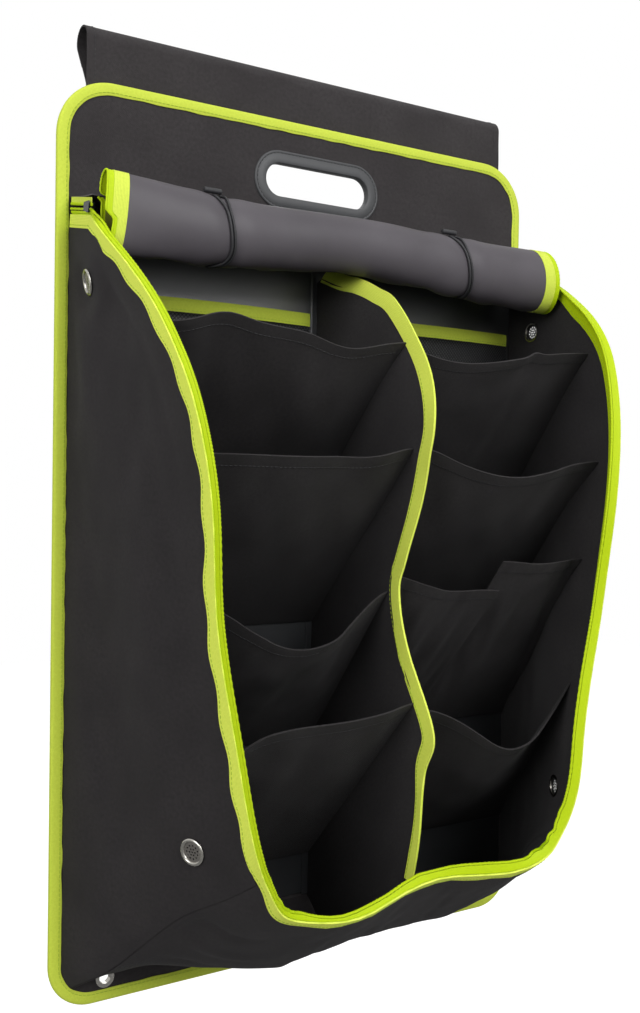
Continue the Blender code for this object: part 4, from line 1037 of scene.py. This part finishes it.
def gussetFolds(depth, height, side):
    # Long soft folds down a gusset, none at its seams, its rim and round its vents
    edge = gussetSides[side][1:]
    front = panelFace - np.interp(-height, -edge[:, 2], edge[:, 1])
    shoulder = edge[: 6 * box["steps"]]
    top = np.interp(depth, panelFace - shoulder[:, 1], shoulder[:, 2])
    folds = 0.0030 * ripple(depth * 1.9, height * 0.5, 0.20, 21 + side)
    folds = folds + 0.0005 * ripple(depth * 2, height * 0.8, 0.07, 31 + side)
    for inside, width in ((depth, 0.04), (front - depth - 0.004, 0.035), (top - height - 0.004, 0.035)):
        folds = folds * smoothStep(inside / width)
    for ventDepth, ventDrop in vents.values():
        off = np.hypot(depth - ventDepth, height + ventDrop)
        folds = folds * smoothStep((off - 0.014) / 0.03)
    depthOff, heightOff = depth - vents["top"][0], height + vents["top"][1]
    near = np.exp(-(depthOff**2 + heightOff**2) / 0.022**2)
    return folds + near * (ventTilt[side][0] * depthOff + ventTilt[side][1] * heightOff)


def gussetX(depth, height, side, folds=True):
    # Half width to a gusset at a depth and height, by halving along its length
    depth, height = np.broadcast_arrays(np.asarray(depth, float), np.asarray(height, float))
    place = np.arange(sideCount)
    y = panelFace - depth
    low, high = np.zeros(depth.shape), np.full(depth.shape, sideCount - 1.0)

    def ruled(where):
        rear = [np.interp(where, place, column) for column in seamLines[side].T]
        front = [np.interp(where, place, column) for column in gussetSides[side].T]
        share = np.clip((rear[1] - y) / np.maximum(rear[1] - front[1], 1e-6), 0, 1)
        return rear[2] + (front[2] - rear[2]) * share, rear[0] + (front[0] - rear[0]) * share

    for _ in range(36):
        middle = (low + high) / 2
        above = ruled(middle)[0] > height
        low, high = np.where(above, middle, low), np.where(above, high, middle)
    half = ruled((low + high) / 2)[1]
    return half + gussetFolds(depth, height, side) if folds else half


def makeSideGussets():
    share = np.linspace(0, 1, 64)[None, :, None]
    fromSeam = np.arange(sideCount)[::-1, None]
    bore = ventRing["bore"]
    for side, word in sides:
        into = back[:sideCount] if side > 0 else back[::-1][:sideCount] * (-1, 1, 1)
        reach = gussetSides[side] - into * 0.004
        grid = seamLines[side][:, None] * (1 - share) + reach[:, None] * share
        grid[..., 0] += gussetFolds(panelFace - grid[..., 1], grid[..., 2], side) * smoothStep(fromSeam / 12)
        grid[..., 2] += seamBow(share[..., 0]) * smoothStep(1 - fromSeam / 34)
        keep = np.ones((grid.shape[0] - 1, grid.shape[1] - 1), bool)
        middle = (grid[1:, 1:] + grid[:-1, :-1]) / 2
        for depth, drop in vents.values():
            # Squares inside a bore go, and points near its edge are drawn onto it
            centre = at(gussetX(depth, -drop, side, folds=False), depth, -drop)
            keep &= np.linalg.norm(middle - centre, axis=-1) > bore
            off = grid - centre
            far = np.linalg.norm(off, axis=-1, keepdims=True)
            near = (far < bore) & (far > 0.004)
            grid = np.where(near, centre + off * bore / np.maximum(far, 1e-6), grid)
        thick = cloth["thick"] * (1 + 0.9 * smoothStep(1 - fromSeam / 5)) * np.ones(grid.shape[1])
        name, mirrored = "gusset_cloth_" + word, grid * (side, 1, 1)
        # Outside: cloth darkened as painted shade. Inside: the pocket cloth, also darkened as painted shade
        gusset = shell(name, mirrored, thick, shadedSideCharcoal, keep, other=shadedInnerCharcoal, flip=side > 0)
        dress(gusset, "side_gusset_" + word)


def makeVent(side, word, place):
    # Rolled ring round a bore, a screen with rows of holes a little below its crest, and a washer inside
    depth, height = vents[place][0], -vents[place][1]
    step = 0.004
    slopes = [
        float(gussetX(depth + a, height + b, side) - gussetX(depth - a, height - b, side)) / (2 * step)
        for a, b in ((step, 0), (0, step))
    ]
    centre = at(side * gussetX(depth, height, side), depth, height)
    normal = unit(np.array([side, slopes[0], -slopes[1]]))
    across = unit(np.cross(normal, (0, 0, 1)))
    above = np.cross(across, normal)
    turn = np.arange(48) * math.tau / 48
    spoke = np.cos(turn)[:, None] * across + np.sin(turn)[:, None] * above
    seat = normal * (cloth["thick"] / 2 + 2 * gap)
    circle = centre + spoke * ventRing["middle"]
    out = np.broadcast_to(normal, circle.shape)
    name = "_" + word + "_" + place
    for part, node, way in (("ring", "eyelet", 1), ("back", "washer", -1)):
        section = np.array(ventRing[part])
        piece = sweep("vent_" + part + name, circle + way * seat, spoke, out, section, nickel, closed=True, smooth=50)
        dress(piece, "vent_" + node + name)
    holes = [
        (far * math.cos(index * math.tau / count), far * math.sin(index * math.tau / count))
        for count, far in ventRing["rows"] for index in range(count)
    ]
    size = ventRing["screen"]

    def region(x, z):
        bored = [np.hypot(x - a, z - b) - ventRing["hole"] for a, b in holes]
        return np.minimum.reduce([size - np.hypot(x, z), *bored])

    low, high = (-size, -size), (size, size)
    name = "vent_screen" + name
    # The screen's inner face takes the near-black finish of painted shade
    piece = plate(name, region, low, high, 0.0, -0.0004, screenMetal, cell=0.0004, other=shadedScreenBack)
    turned = Matrix(np.stack([across, normal, above], 1).tolist()).to_4x4()
    piece.data.transform(Matrix.Translation((centre + seat).tolist()) @ turned)
    dress(piece, ())


bottomHalf = panel["half"] - panel["bottomRadius"] + tipRadius - cloth["thick"] - gap
bottomStart = tipHeight - cloth["thick"] - 2 * gap


def bottomSeam(x):
    return bottomStart + box["rise"] * (1 - np.abs(x / bottomHalf) ** 5)


# Creases in the bottom: x and metres from the wall at both ends, width and height
bottomCreases = (
    (-0.20, 0.19, -0.10, 0.10, 0.010, 0.002), (-0.11, 0.20, -0.06, 0.08, 0.008, -0.0015),
    (-0.03, 0.20, 0.03, 0.07, 0.010, 0.0015), (-0.262, 0.115, -0.16, 0.135, 0.006, 0.003),
    (-0.258, 0.085, -0.18, 0.095, 0.006, -0.003), (-0.262, 0.14, -0.19, 0.17, 0.006, -0.0025),
    (0.07, 0.20, 0.09, 0.10, 0.008, -0.0015), (0.15, 0.19, 0.12, 0.08, 0.009, 0.002),
    (-0.16, 0.16, -0.02, 0.05, 0.007, -0.001),
)


def bottomGrid(rows=181, columns=70, folds=True):
    # From the arched seam on the panel, sagging, up to the opening's lower edge
    lower = slice(sideCount - 1, len(line) - sideCount + 1)
    ends = np.abs(np.linspace(1, -1, lower.stop - lower.start))[:, None] ** 8
    edge = gussetEdge[lower] - back[lower] * (0.008 - 0.004 * ends if folds else -gap)
    front = evenly(edge, rows, cloth["thick"] + 2 * gap)
    x = np.linspace(bottomHalf, -bottomHalf, rows)
    rear = at(x, 0.0010, bottomSeam(x))
    share = np.linspace(0, 1, columns)[None, :]
    grid = rear[:, None] * (1 - share[..., None]) + front[:, None] * share[..., None]
    across = np.abs(x / bottomHalf)[:, None]
    grid[..., 2] -= box["sag"] * np.sin(np.pi * share**0.75) * (1 - across**3)
    if folds:
        u, v = np.broadcast_arrays(x[:, None], share * box["depth"])
        move = 0.0018 * ripple(u, v * 1.5, 0.15, 41) + 0.0006 * ripple(u, v, 0.05, 43)
        move = move + creases(u, v, bottomCreases)
        fade = smoothStep(share / 0.15) * smoothStep((1 - share) / 0.12) * smoothStep((1 - across) / 0.06)
        grid[..., 2] += seamBow(share) * smoothStep((across - 0.72) / 0.28) - move * fade
        # Seam allowances turned up inside the gussets
        grid = np.concatenate([grid[:1] + (0.0008, 0, 0.004), grid, grid[-1:] + (-0.0008, 0, 0.004)])
    return grid


def makeBottomGusset():
    grid = bottomGrid()
    # The bottom takes the cloth darkened as painted shade
    gusset = shell("bottom_cloth", grid, cloth["thick"], shadedSideCharcoal)
    dress(gusset, "bottom_gusset")


# Band: how much narrower it is low down, depth, spacing and start of its gathers. Tape: its width in the opening,
# what the right side adds, its pucker low down, its thickness, and its rows behind the rim. Stitches: their insets
rim = {
    "narrow": 0.34, "gather": 0.0017, "spacing": 0.060, "start": 0.155, "tape": 0.0050, "rightTape": 0.0045,
    "pucker": 0.0013, "thick": 0.0009, "rows": (0.0115, 0.0080, 0.0045, 0.0015), "outer": 0.0022, "inner": 0.0095,
}


def openness():
    # 0 where the zip is closed, 1 where its two sides are apart
    place = np.arange(len(line)) / box["steps"]
    fromEnd = np.minimum(place, (len(line) - 1) / box["steps"] - place)
    return smoothStep((fromEnd - 1) / 1.2)


def rightShare():
    # How much of the right side's wider tape a point has
    return (smoothStep(line[:, 0] / 0.2 + 0.5) * smoothStep((-line[:, 2] - 0.198) / 0.030))[:, None]


def lowShare():
    # 1 along the lowest part of the opening, 0 above it
    return smoothStep((-box["drop"] - line[:, 2]) / box["height"] / 0.06 - 15)


def coilLine():
    # Teeth end of the zip tape: standing along the closed stretch, turned into the opening beyond, puckered low down
    opened = openness()[:, None]
    turn = opened * math.pi / 2
    pucker = rim["pucker"] * (lowShare() * ripple(reach, 0 * reach, 0.020, 53))[:, None]
    wide = rim["tape"] + rim["rightTape"] * rightShare() + pucker
    width = box["closedTape"] + (wide - box["closedTape"]) * opened
    direction = -back * np.cos(turn) + inward * np.sin(turn)
    return line + direction * width, direction


def makeRim():
    # Band folded over the gusset's front edge, its lower edge drawn in and out by the gathered cloth
    opened = openness()
    fromEnd = np.minimum(reach, reach[-1] - reach)
    phase = math.tau * (fromEnd - rim["start"]) / rim["spacing"] + 0.5 * ripple(reach, 0 * reach, 0.2, 51)
    gather = rim["gather"] * np.cos(phase) * opened
    width = ((box["band"] - 0.0005) * (1 - rim["narrow"] * lowShare()) + gather)[:, None]
    share = np.linspace(0, 1, 7)[None, :, None]
    grid = (line + back * 0.0004)[:, None] + (back * width)[:, None] * share
    # The rim band takes the tape made paler as painted light
    band = shell("rim_band", grid, box["bandThick"] * (1 - 0.25 * share[..., 0] ** 4), litRimBinding)
    dress(band, "rim_binding")
    edge, direction = coilLine()
    skin = box["bandThick"] / 2 + cloth["tape"] / 2
    wide = 1 + 0.55 * rightShare() * opened[:, None]
    rear = [line + back * w * wide + inward * skin for w in rim["rows"]]
    curve = [line + inward * skin * 0.9 - back * 0.0006]
    flange = [line + (edge - line) * share for share in (0.45, 0.75, 1.0)]
    tape = shell("zip_tape_cloth", np.stack(rear + curve + flange, 1), rim["thick"], limeZip)
    dress(tape, "zip_tape")
    coil = coilAlong("zip_coil_teeth", edge + direction * (box["coil"] / 2 + gap), -back, box["coil"])
    dress(coil, "zip_coil")
    outer = line + back * (width - rim["outer"]) - inward * (box["bandThick"] / 2)
    inner = line + back * rim["inner"] * wide + inward * (skin + 0.0006)
    dress(stitches("rim_stitches", [(outer, -inward), (inner, inward)], limeThread), ())


# Height at the wall, fall to the hinge, sag between them, and height of the tape above its coil
roofCloth = {"height": -0.161, "fall": 0.009, "sag": 0.0012, "tape": 0.0050}


def makeRoof():
    half = seamHalf - cloth["tape"] / 2 - gap
    depth = np.linspace(gap, roll["hingeDepth"] - 0.0007, 12)[:, None]
    share = depth / roll["hingeDepth"]
    x = np.linspace(-half, half, 60)[None, :]
    # The roof falls towards its hinge and sags a little between wall and hinge, unevenly along it
    sag = roofCloth["sag"] * np.sin(np.pi * share) * (1 + 0.5 * ripple(x, depth, 0.12, 61))
    height = roofCloth["height"] - roofCloth["fall"] * share - sag
    roof = shell("roof_cloth", at(x, depth, height), cloth["tape"], greyCoat)
    dress(roof, "cover_roof")
    edge, direction = coilLine()
    chain = edge + direction * (box["coil"] + gap + box["chainGap"] / 2)
    bead = chain[: box["steps"] + 1] + (0, 0, box["chainGap"] / 2 + box["coil"] / 2)
    rise = np.array([0, 0, box["coil"] / 2 + roofCloth["tape"]]) * np.linspace(0, 1, 6)[None, :, None]
    for side, word in sides:
        way = (side, 1, 1)
        tape = shell("roof_tape_cloth_" + word, (bead[:, None] + rise) * way, cloth["tape"], dullBinding)
        dress(tape, "roof_zip_tape_" + word)
        coil = coilAlong("roof_coil_" + word, bead * way, (side, 0.0, 0) + 0 * bead, box["coil"])
        dress(coil, ())


makeSideGussets()
makeBottomGusset()
makeRim()
makeRoof()
for side, word in sides:
    for place in vents:
        makeVent(side, word, place)
    for kind in ("zip_slider_", "zip_pull_"):
        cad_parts[kind + word].data.materials[0] = blackZinc
print("box made")


# Inside: lining, divider, mesh pockets and pockets

# Mesh pockets: drops of their top and foot, binding, bow off the wall, half width. Divider: seam tape, bindings,
# its edge's sway and how much narrower it is low down. Pockets: belly, room beside a gusset, where the split one's
# seam is. Then how far in stitches are, and how much a seam's bead and a hem add
inside = {
    "meshTop": 0.264, "meshBottom": 0.450, "meshBinding": 0.014, "meshBow": 0.011, "meshHalf": seamHalf - 0.0065,
    "seamTape": 0.008, "dividerBinding": 0.016, "dividerThick": 0.0024, "slope": 0.006, "clear": 0.0019,
    "split": 0.135, "sway": 0.0012, "narrow": 0.32, "stitch": 0.0024, "bead": 0.0012, "hem": 0.0006,
}
# Front edge of the divider: depths and drops down it
dividerPoints = np.array([
    (0.014, 0.200), (0.045, 0.212), (0.070, 0.2185), (0.100, 0.231), (0.133, 0.251), (0.190, 0.317),
    (0.208, 0.376), (0.190, 0.436), (0.166, 0.511), (0.157, 0.545), (0.174, 0.605), (0.211, 0.677),
    (0.198, 0.720), (0.192, 0.775), (0.181, 0.832),
])
# Seam drop, hem depth and drop at the divider, hem depth and drop at the gusset, sag, where it sags, and how sharply
pockets = {
    "left_pocket_1": (0.462, 0.155, 0.293, 0.150, 0.296, -0.004, 0.6, 2),
    "left_pocket_2": (0.590, 0.176, 0.400, 0.184, 0.412, 0.006, 0.4, 2),
    "left_pocket_3": (0.720, 0.140, 0.545, 0.180, 0.540, 0.052, 0.45, 1.5),
    "left_pocket_4": (0.850, 0.183, 0.652, 0.184, 0.688, -0.012, 0.7, 2),
    "right_pocket_1": (0.462, 0.150, 0.296, 0.148, 0.285, 0.016, 0.35, 2),
    "right_pocket_2": (0.590, 0.174, 0.398, 0.182, 0.408, 0.024, 0.5, 1.6),
    "right_pocket_3_inner": (0.720, 0.143, 0.528, 0.160, 0.548, 0.008, 0.5, 2),
    "right_pocket_3_outer": (0.720, 0.160, 0.517, 0.168, 0.516, 0.004, 0.5, 2),
    "right_pocket_4": (0.850, 0.183, 0.660, 0.172, 0.652, 0.062, 0.68, 1.0),
}
# Where a hem stands up: place and width as shares of the hem, and rise
hemPeaks = {
    "left_pocket_1": ((0.72, 0.12, 0.010), (0.22, 0.14, -0.011)), "left_pocket_2": ((0.18, 0.12, -0.004),),
    "right_pocket_1": ((0.70, 0.04, 0.004),),
}
# How far the divider's front edge hangs to the right, at drops down it
dividerLean = (
    (0.20, 0.010), (0.25, 0.014), (0.30, 0.011), (0.35, 0.006), (0.40, 0.006), (0.43, 0.009), (0.47, 0.009),
    (0.52, 0.005), (0.58, 0.004), (0.64, 0.006), (0.70, 0.008), (0.76, 0.010), (0.83, 0.008),
)


def leanAt(depth, height):
    # The divider's lean at a point: its front edge's, falling off towards the wall
    drop, reach = throughPoints(dividerLean, 6).T
    front = np.interp(-height, dividerPoints[:, 1], dividerPoints[:, 0])
    return np.interp(-height, drop, reach) * np.clip(depth / front, 0, 1.05) ** 1.3


def makeInnerLining():
    half = seamHalf - cloth["thick"] - 2 * gap

    def region(x, z):
        low = bottomSeam(np.clip(x, -half, half)) + 2 * cloth["thick"]
        return np.minimum.reduce([half - np.abs(x), -box["liningTop"] - z, (z - low) * 0.8])

    low, high, rear, front = (-0.29, -0.96), (0.29, -0.17), panelFace - gap, panelFace - liningFront
    piece = plate("lining_cloth", region, low, high, rear, front, coatedLining, 0.0003, seed=71)
    dress(piece, "inner_back_lining")


def bottomTop(depth):
    middle = bottomGrid(21, 8, folds=False)[10]
    order = np.argsort(-middle[:, 1])
    return np.interp(depth, panelFace - middle[order, 1], middle[order, 2]) + cloth["thick"] / 2


def makeDivider():
    # Upright sheet: at each point down its front edge it runs straight back to the wall or down to the floor
    edge = throughPoints(at(0.0, dividerPoints[:, 0], -dividerPoints[:, 1]), 10)
    lean = leanAt(panelFace - edge[:, 1], edge[:, 2])[:, None] * (1.0, 0, 0)
    along = unit(np.gradient(edge, axis=0))
    rearward = unit(np.cross((1, 0, 0), along))
    rear = wallFront + cloth["lining"] + gap
    front = edge + rearward * (inside["dividerBinding"] - 0.004)
    front = front[panelFace - front[:, 1] > rear]
    depths = np.linspace(panelFace - front[-1, 1] - gap, rear, 40)
    foot = at(0.0, depths, bottomTop(depths) + 3 * gap)
    rows, columns = 120, 60
    front = evenly(front, rows)
    lower = evenly(np.vstack([front[-1:], foot]), len(foot))
    wall = at(0.0, rear, np.linspace(front[0, 2] - 0.004, foot[-1, 2], rows))
    share = np.linspace(0, 1, columns)[None, :, None]
    grid = wall[:, None] * (1 - share) + front[:, None] * share
    floor = np.interp(np.linspace(0, 1, columns), np.linspace(0, 1, len(foot)), lower[::-1, 2])
    grid[..., 2] += (floor - grid[-1, :, 2]) * smoothStep(np.linspace(-1.6, 1, rows))[:, None]
    y, z = grid[..., 1], grid[..., 2]
    grid[..., 0] = 0.0004 * ripple(y, z, 0.12, 73) + leanAt(panelFace - y, z)
    # The divider takes the inside cloth darkened as painted shade
    piece = shell("divider_cloth", grid, cloth["thick"], shadedInnerCharcoal)
    dress(piece, "centre_divider")
    share = np.linspace(0, 1, 7)[None, :, None]
    reach = lengthAlong(edge)
    sway = inside["sway"] * ripple(reach, 0 * reach, 0.12, 75)[:, None, None] * np.array([1.0, 0, 0])
    low = smoothStep((-edge[:, 2:] - 0.69) / 0.06)
    width = inside["dividerBinding"] * (1 - inside["narrow"] * low)
    band = edge[:, None] + (rearward * width)[:, None] * share + sway * (1 - share)
    band[..., 0] += leanAt(panelFace - band[..., 1], band[..., 2])
    thick = inside["dividerThick"]
    # The divider binding takes the tape made paler as painted light
    binding = shell("divider_binding_tape", band, thick * (1 - 0.25 * share[..., 0] ** 4), litRimBinding)
    dress(binding, "divider_binding")
    row = edge + lean * 0.88 + rearward * (width - inside["stitch"])
    rows = [(row + (side * thick / 2, 0, 0), (side * 1.0, 0, 0)) for side in (-1, 1)]
    dress(stitches("divider_stitches", rows, limeThread), ())
    low, top = float(bottomTop(wallFront)) + 6 * gap, -dividerPoints[0, 1] + 0.004
    x, z = np.meshgrid(np.linspace(-inside["seamTape"], inside["seamTape"], 13), np.linspace(low, top, 140))
    bead = inside["bead"] * hill(np.abs(x), 0.0055, 0.0012)
    thick = cloth["lining"]
    tape = shell("divider_seam_strip", at(x, wallFront + thick / 2 + bead * 0.3, z), thick, coatedLining)
    dress(tape, "divider_seam_tape")


def makeMeshPockets():
    # Each net under its bound top edge, which stands off the wall in a bow
    seat, thick = wallFront + cloth["tape"] / 2, cloth["tape"]
    low, top = -inside["meshBottom"], -inside["meshTop"]
    start, end = inside["seamTape"] + 4 * gap, inside["meshHalf"]
    for side, word in sides:
        across = np.linspace(0, 1, 60)
        rows = np.linspace(0, 1, 8)[:, None]
        crest = inside["meshBow"] * np.sin(np.pi * across) ** 0.8
        x = side * (start + (end - start) * across)
        puff = np.sin(np.pi * rows)
        grid = at(x, seat + crest * (1 + 0.06 * puff), top + gap + inside["meshBinding"] * rows)
        thicks = thick * (1 + 0.5 * puff * np.ones(60))
        tape = shell("mesh_binding_tape_" + word, grid.transpose(1, 0, 2), thicks.T, limeBinding)
        dress(tape, "mesh_binding_" + word)
        row = at(x, seat + crest + thick * 0.7, top + gap + inside["stitch"])
        dress(stitches("mesh_stitches_" + word, [(row, toFront)], limeThread), ())
        makeNet(side, word, start, end, low, top, seat)


# Mesh width, yarn width, and the yarn's thickness as a share of its width
net = {"cell": 0.0042, "yarn": 0.0009, "flat": 0.6}


def makeNet(side, word, start, end, low, top, seat):
    # Diamond net: yarns both ways across a sheet that stands off the wall towards its top
    width, height = end - start, top - low
    cell = net["cell"]
    steps = 41
    share = np.linspace(0, 1, steps)
    points, quads = [], []
    offset = np.arange(1, int((width + height) / cell) + 1) * cell
    # Each yarn climbs at 45 degrees from the foot or a side until it meets the top or the other side
    u0, v0 = np.maximum(offset - height, 0), np.minimum(offset, height)
    u1, v1 = np.minimum(offset, width), np.maximum(offset - width, 0)
    u = u0[:, None] + (u1 - u0)[:, None] * share
    v = v0[:, None] + (v1 - v0)[:, None] * share
    for way in (0, 1):
        along = width - u if way else u
        depth = seat + inside["meshBow"] * np.sin(np.pi * along / width) ** 0.8 * (v / height) ** 1.5
        depth = depth + (0.0002 if way else -0.0002)
        path = at(side * (start + along), depth, low + v)
        half = net["yarn"] / 2
        run = path[:, -1] - path[:, 0]
        across = unit(join(run[:, 2], 0.0, -run[:, 0]))[:, None] * half
        out = np.array([0, half * net["flat"], 0])
        base = sum(len(part) for part in points)
        points.append(np.stack([path - across, path - out, path + across, path + out], 2).reshape(-1, 3))
        first = base + (np.arange(len(offset))[:, None, None] * steps + np.arange(steps - 1)[None, :, None]) * 4
        corner, beyond = first + np.arange(4), first + (np.arange(4) + 1) % 4
        quads.append(np.stack([corner, beyond, beyond + 4, corner + 4], -1).reshape(-1, 4))
        ends = base + np.arange(len(offset))[:, None] * steps * 4
        quads.append(np.concatenate([ends + np.arange(4)[::-1], ends + (steps - 1) * 4 + np.arange(4)]))
    points, quads = np.concatenate(points), np.concatenate(quads)
    uv = points[:, [0, 2]]
    faces, uvs = outwards(points, [quads], [uv[quads]])
    piece = meshOf("net_" + word, points, faces, uvs, netYarn, 60)
    dress(piece, "mesh_pocket_" + word)


def pocketGrid(name, rows=56, columns=84):
    # From the seam on the wall up to the hem, with a belly, soft folds, and slack near the hem
    seam, innerDepth, innerDrop, outerDepth, outerDrop, sag, sagAt, sharp = pockets[name]
    side = -1 if name.startswith("left") else 1
    seed = 100 + list(pockets).index(name) * 7
    start = inside["split"] + cloth["thick"] / 2 if name.endswith("outer") else cloth["thick"] / 2 + 2 * gap
    across = np.linspace(0, 1, columns)[None, :]
    up = np.linspace(0, 1, rows)[:, None]
    bend = math.log(0.5) / math.log(sagAt)
    hemDrop = innerDrop + (outerDrop - innerDrop) * across + sag * np.sin(np.pi * across**bend) ** sharp
    for middle, width, rise in hemPeaks.get(name, ()):
        hemDrop = hemDrop - rise * hill(across, middle, width)
    hemDepth = innerDepth + (outerDepth - innerDepth) * across
    belly = inside["slope"] * np.sin(np.pi * up) * np.sin(np.pi * across)
    rearDepth = wallFront + 2 * gap + cloth["thick"]
    free = np.sin(np.pi * up * 0.62) * smoothStep(across / 0.12) * smoothStep((1 - across) / 0.12)
    u, v = np.broadcast_arrays(across * 0.28, up * 0.17)
    folds = 0.0032 * ripple(u, v * 0.8, 0.13, seed) + 0.0010 * ripple(u, v, 0.05, seed + 1)
    depth = rearDepth + (hemDepth - rearDepth) * up + belly + folds * free
    height = -seam + (seam - hemDrop) * up
    limit = inside["split"] if name.endswith("inner") else gussetX(depth, height, side) - inside["clear"]
    x = side * (start + (limit - start) * across) + leanAt(depth, height) * (1 - across) ** 2
    return at(x, depth, height)


def makePockets():
    rows = []
    for name in pockets:
        grid = pocketGrid(name)
        up = np.linspace(0, 1, grid.shape[0])[:, None] * np.ones(grid.shape[1])
        hem = smoothStep((up - 0.945) / 0.01)
        # The pockets take the inside cloth darkened as painted shade
        piece = shell(name + "_cloth", grid, cloth["thick"] + inside["hem"] * hem, shadedInnerCharcoal)
        dress(piece, name)
        normal = gridNormal(grid)[-4]
        normal = normal * np.sign(-normal[..., 1:2] + normal[..., 2:] * 0.5)
        rows.append((grid[-4] + normal * 0.0008, normal))
    dress(stitches("pocket_stitches", rows, blackThread), ())


makeInnerLining()
makeDivider()
makeMeshPockets()
makePockets()
print("inside made")


# Studio: the floor's height, how bright the world and the paper's glow are, the paper's colour, and the lamps' aim

studio = {"floor": -1.30, "world": 0.26, "glow": 0.90, "paper": "#a0a0a0", "aim": (0, -0.1, -0.5)}
# Place, size and power of each lamp
lamps = {
    "key": ((0.4, -2.6, 1.1), 1.8, 62.0), "fill": ((-2.4, -1.3, 0.5), 1.8, 40.0),
    "top": ((0.0, -0.3, 1.6), 1.5, 6.0), "rear": ((1.0, 2.4, 0.8), 1.8, 30.0),
}


def makeStudio():
    # A world that lights the part softly and is white to the camera and in reflections
    world = bpy.data.worlds.new("pale studio")
    scene.world = world
    world.use_nodes = True
    tree = world.node_tree
    tree.nodes.clear()
    path = addNode(tree, "ShaderNodeLightPath").outputs
    seen = reckon(tree, "MAXIMUM", path["Is Camera Ray"], path["Is Glossy Ray"])
    seen = reckon(tree, "MAXIMUM", seen, path["Is Transmission Ray"])
    plain, white = (
        addNode(tree, "ShaderNodeBackground", {"Color": (1, 1, 1, 1), "Strength": strength}).outputs[0]
        for strength in (studio["world"], 1.0)
    )
    mix = addNode(tree, "ShaderNodeMixShader", {0: seen, 1: plain, 2: white})
    addNode(tree, "ShaderNodeOutputWorld", {"Surface": mix.outputs[0]})
    # Paper that glows to the camera only, so that it is white and still takes soft shadows
    paper = bpy.data.materials.new("white paper floor")
    paper.use_nodes = True
    tree = paper.node_tree
    tree.nodes.clear()
    path = addNode(tree, "ShaderNodeLightPath").outputs
    diffuse = addNode(tree, "ShaderNodeBsdfDiffuse", {"Color": toLinear(studio["paper"])}).outputs[0]
    glow = addNode(tree, "ShaderNodeEmission", {"Color": (1, 1, 1, 1), "Strength": studio["glow"]}).outputs[0]
    both = addNode(tree, "ShaderNodeAddShader", {0: diffuse, 1: glow}).outputs[0]
    mix = addNode(tree, "ShaderNodeMixShader", {0: path["Is Camera Ray"], 1: diffuse, 2: both})
    addNode(tree, "ShaderNodeOutputMaterial", {"Surface": mix.outputs[0]})
    x, y = np.meshgrid(np.linspace(-4, 4, 5), np.linspace(-4, 4, 5))
    shell("floor", join(x, y, studio["floor"]), 0.01, paper)
    for name in lamps:
        makeLamp(name)


def makeLamp(name):
    place, size, power = lamps[name]
    data = bpy.data.lights.new(name, "AREA")
    data.shape = "DISK"
    data.size = size
    data.energy = power
    lamp = bpy.data.objects.new(name, data)
    turned = (Vector(studio["aim"]) - Vector(place)).to_track_quat("-Z", "Y").to_matrix().to_4x4()
    lamp.matrix_world = Matrix.Translation(place) @ turned
    scene.collection.objects.link(lamp)


makeStudio()
scene.view_settings.view_transform = "Standard"
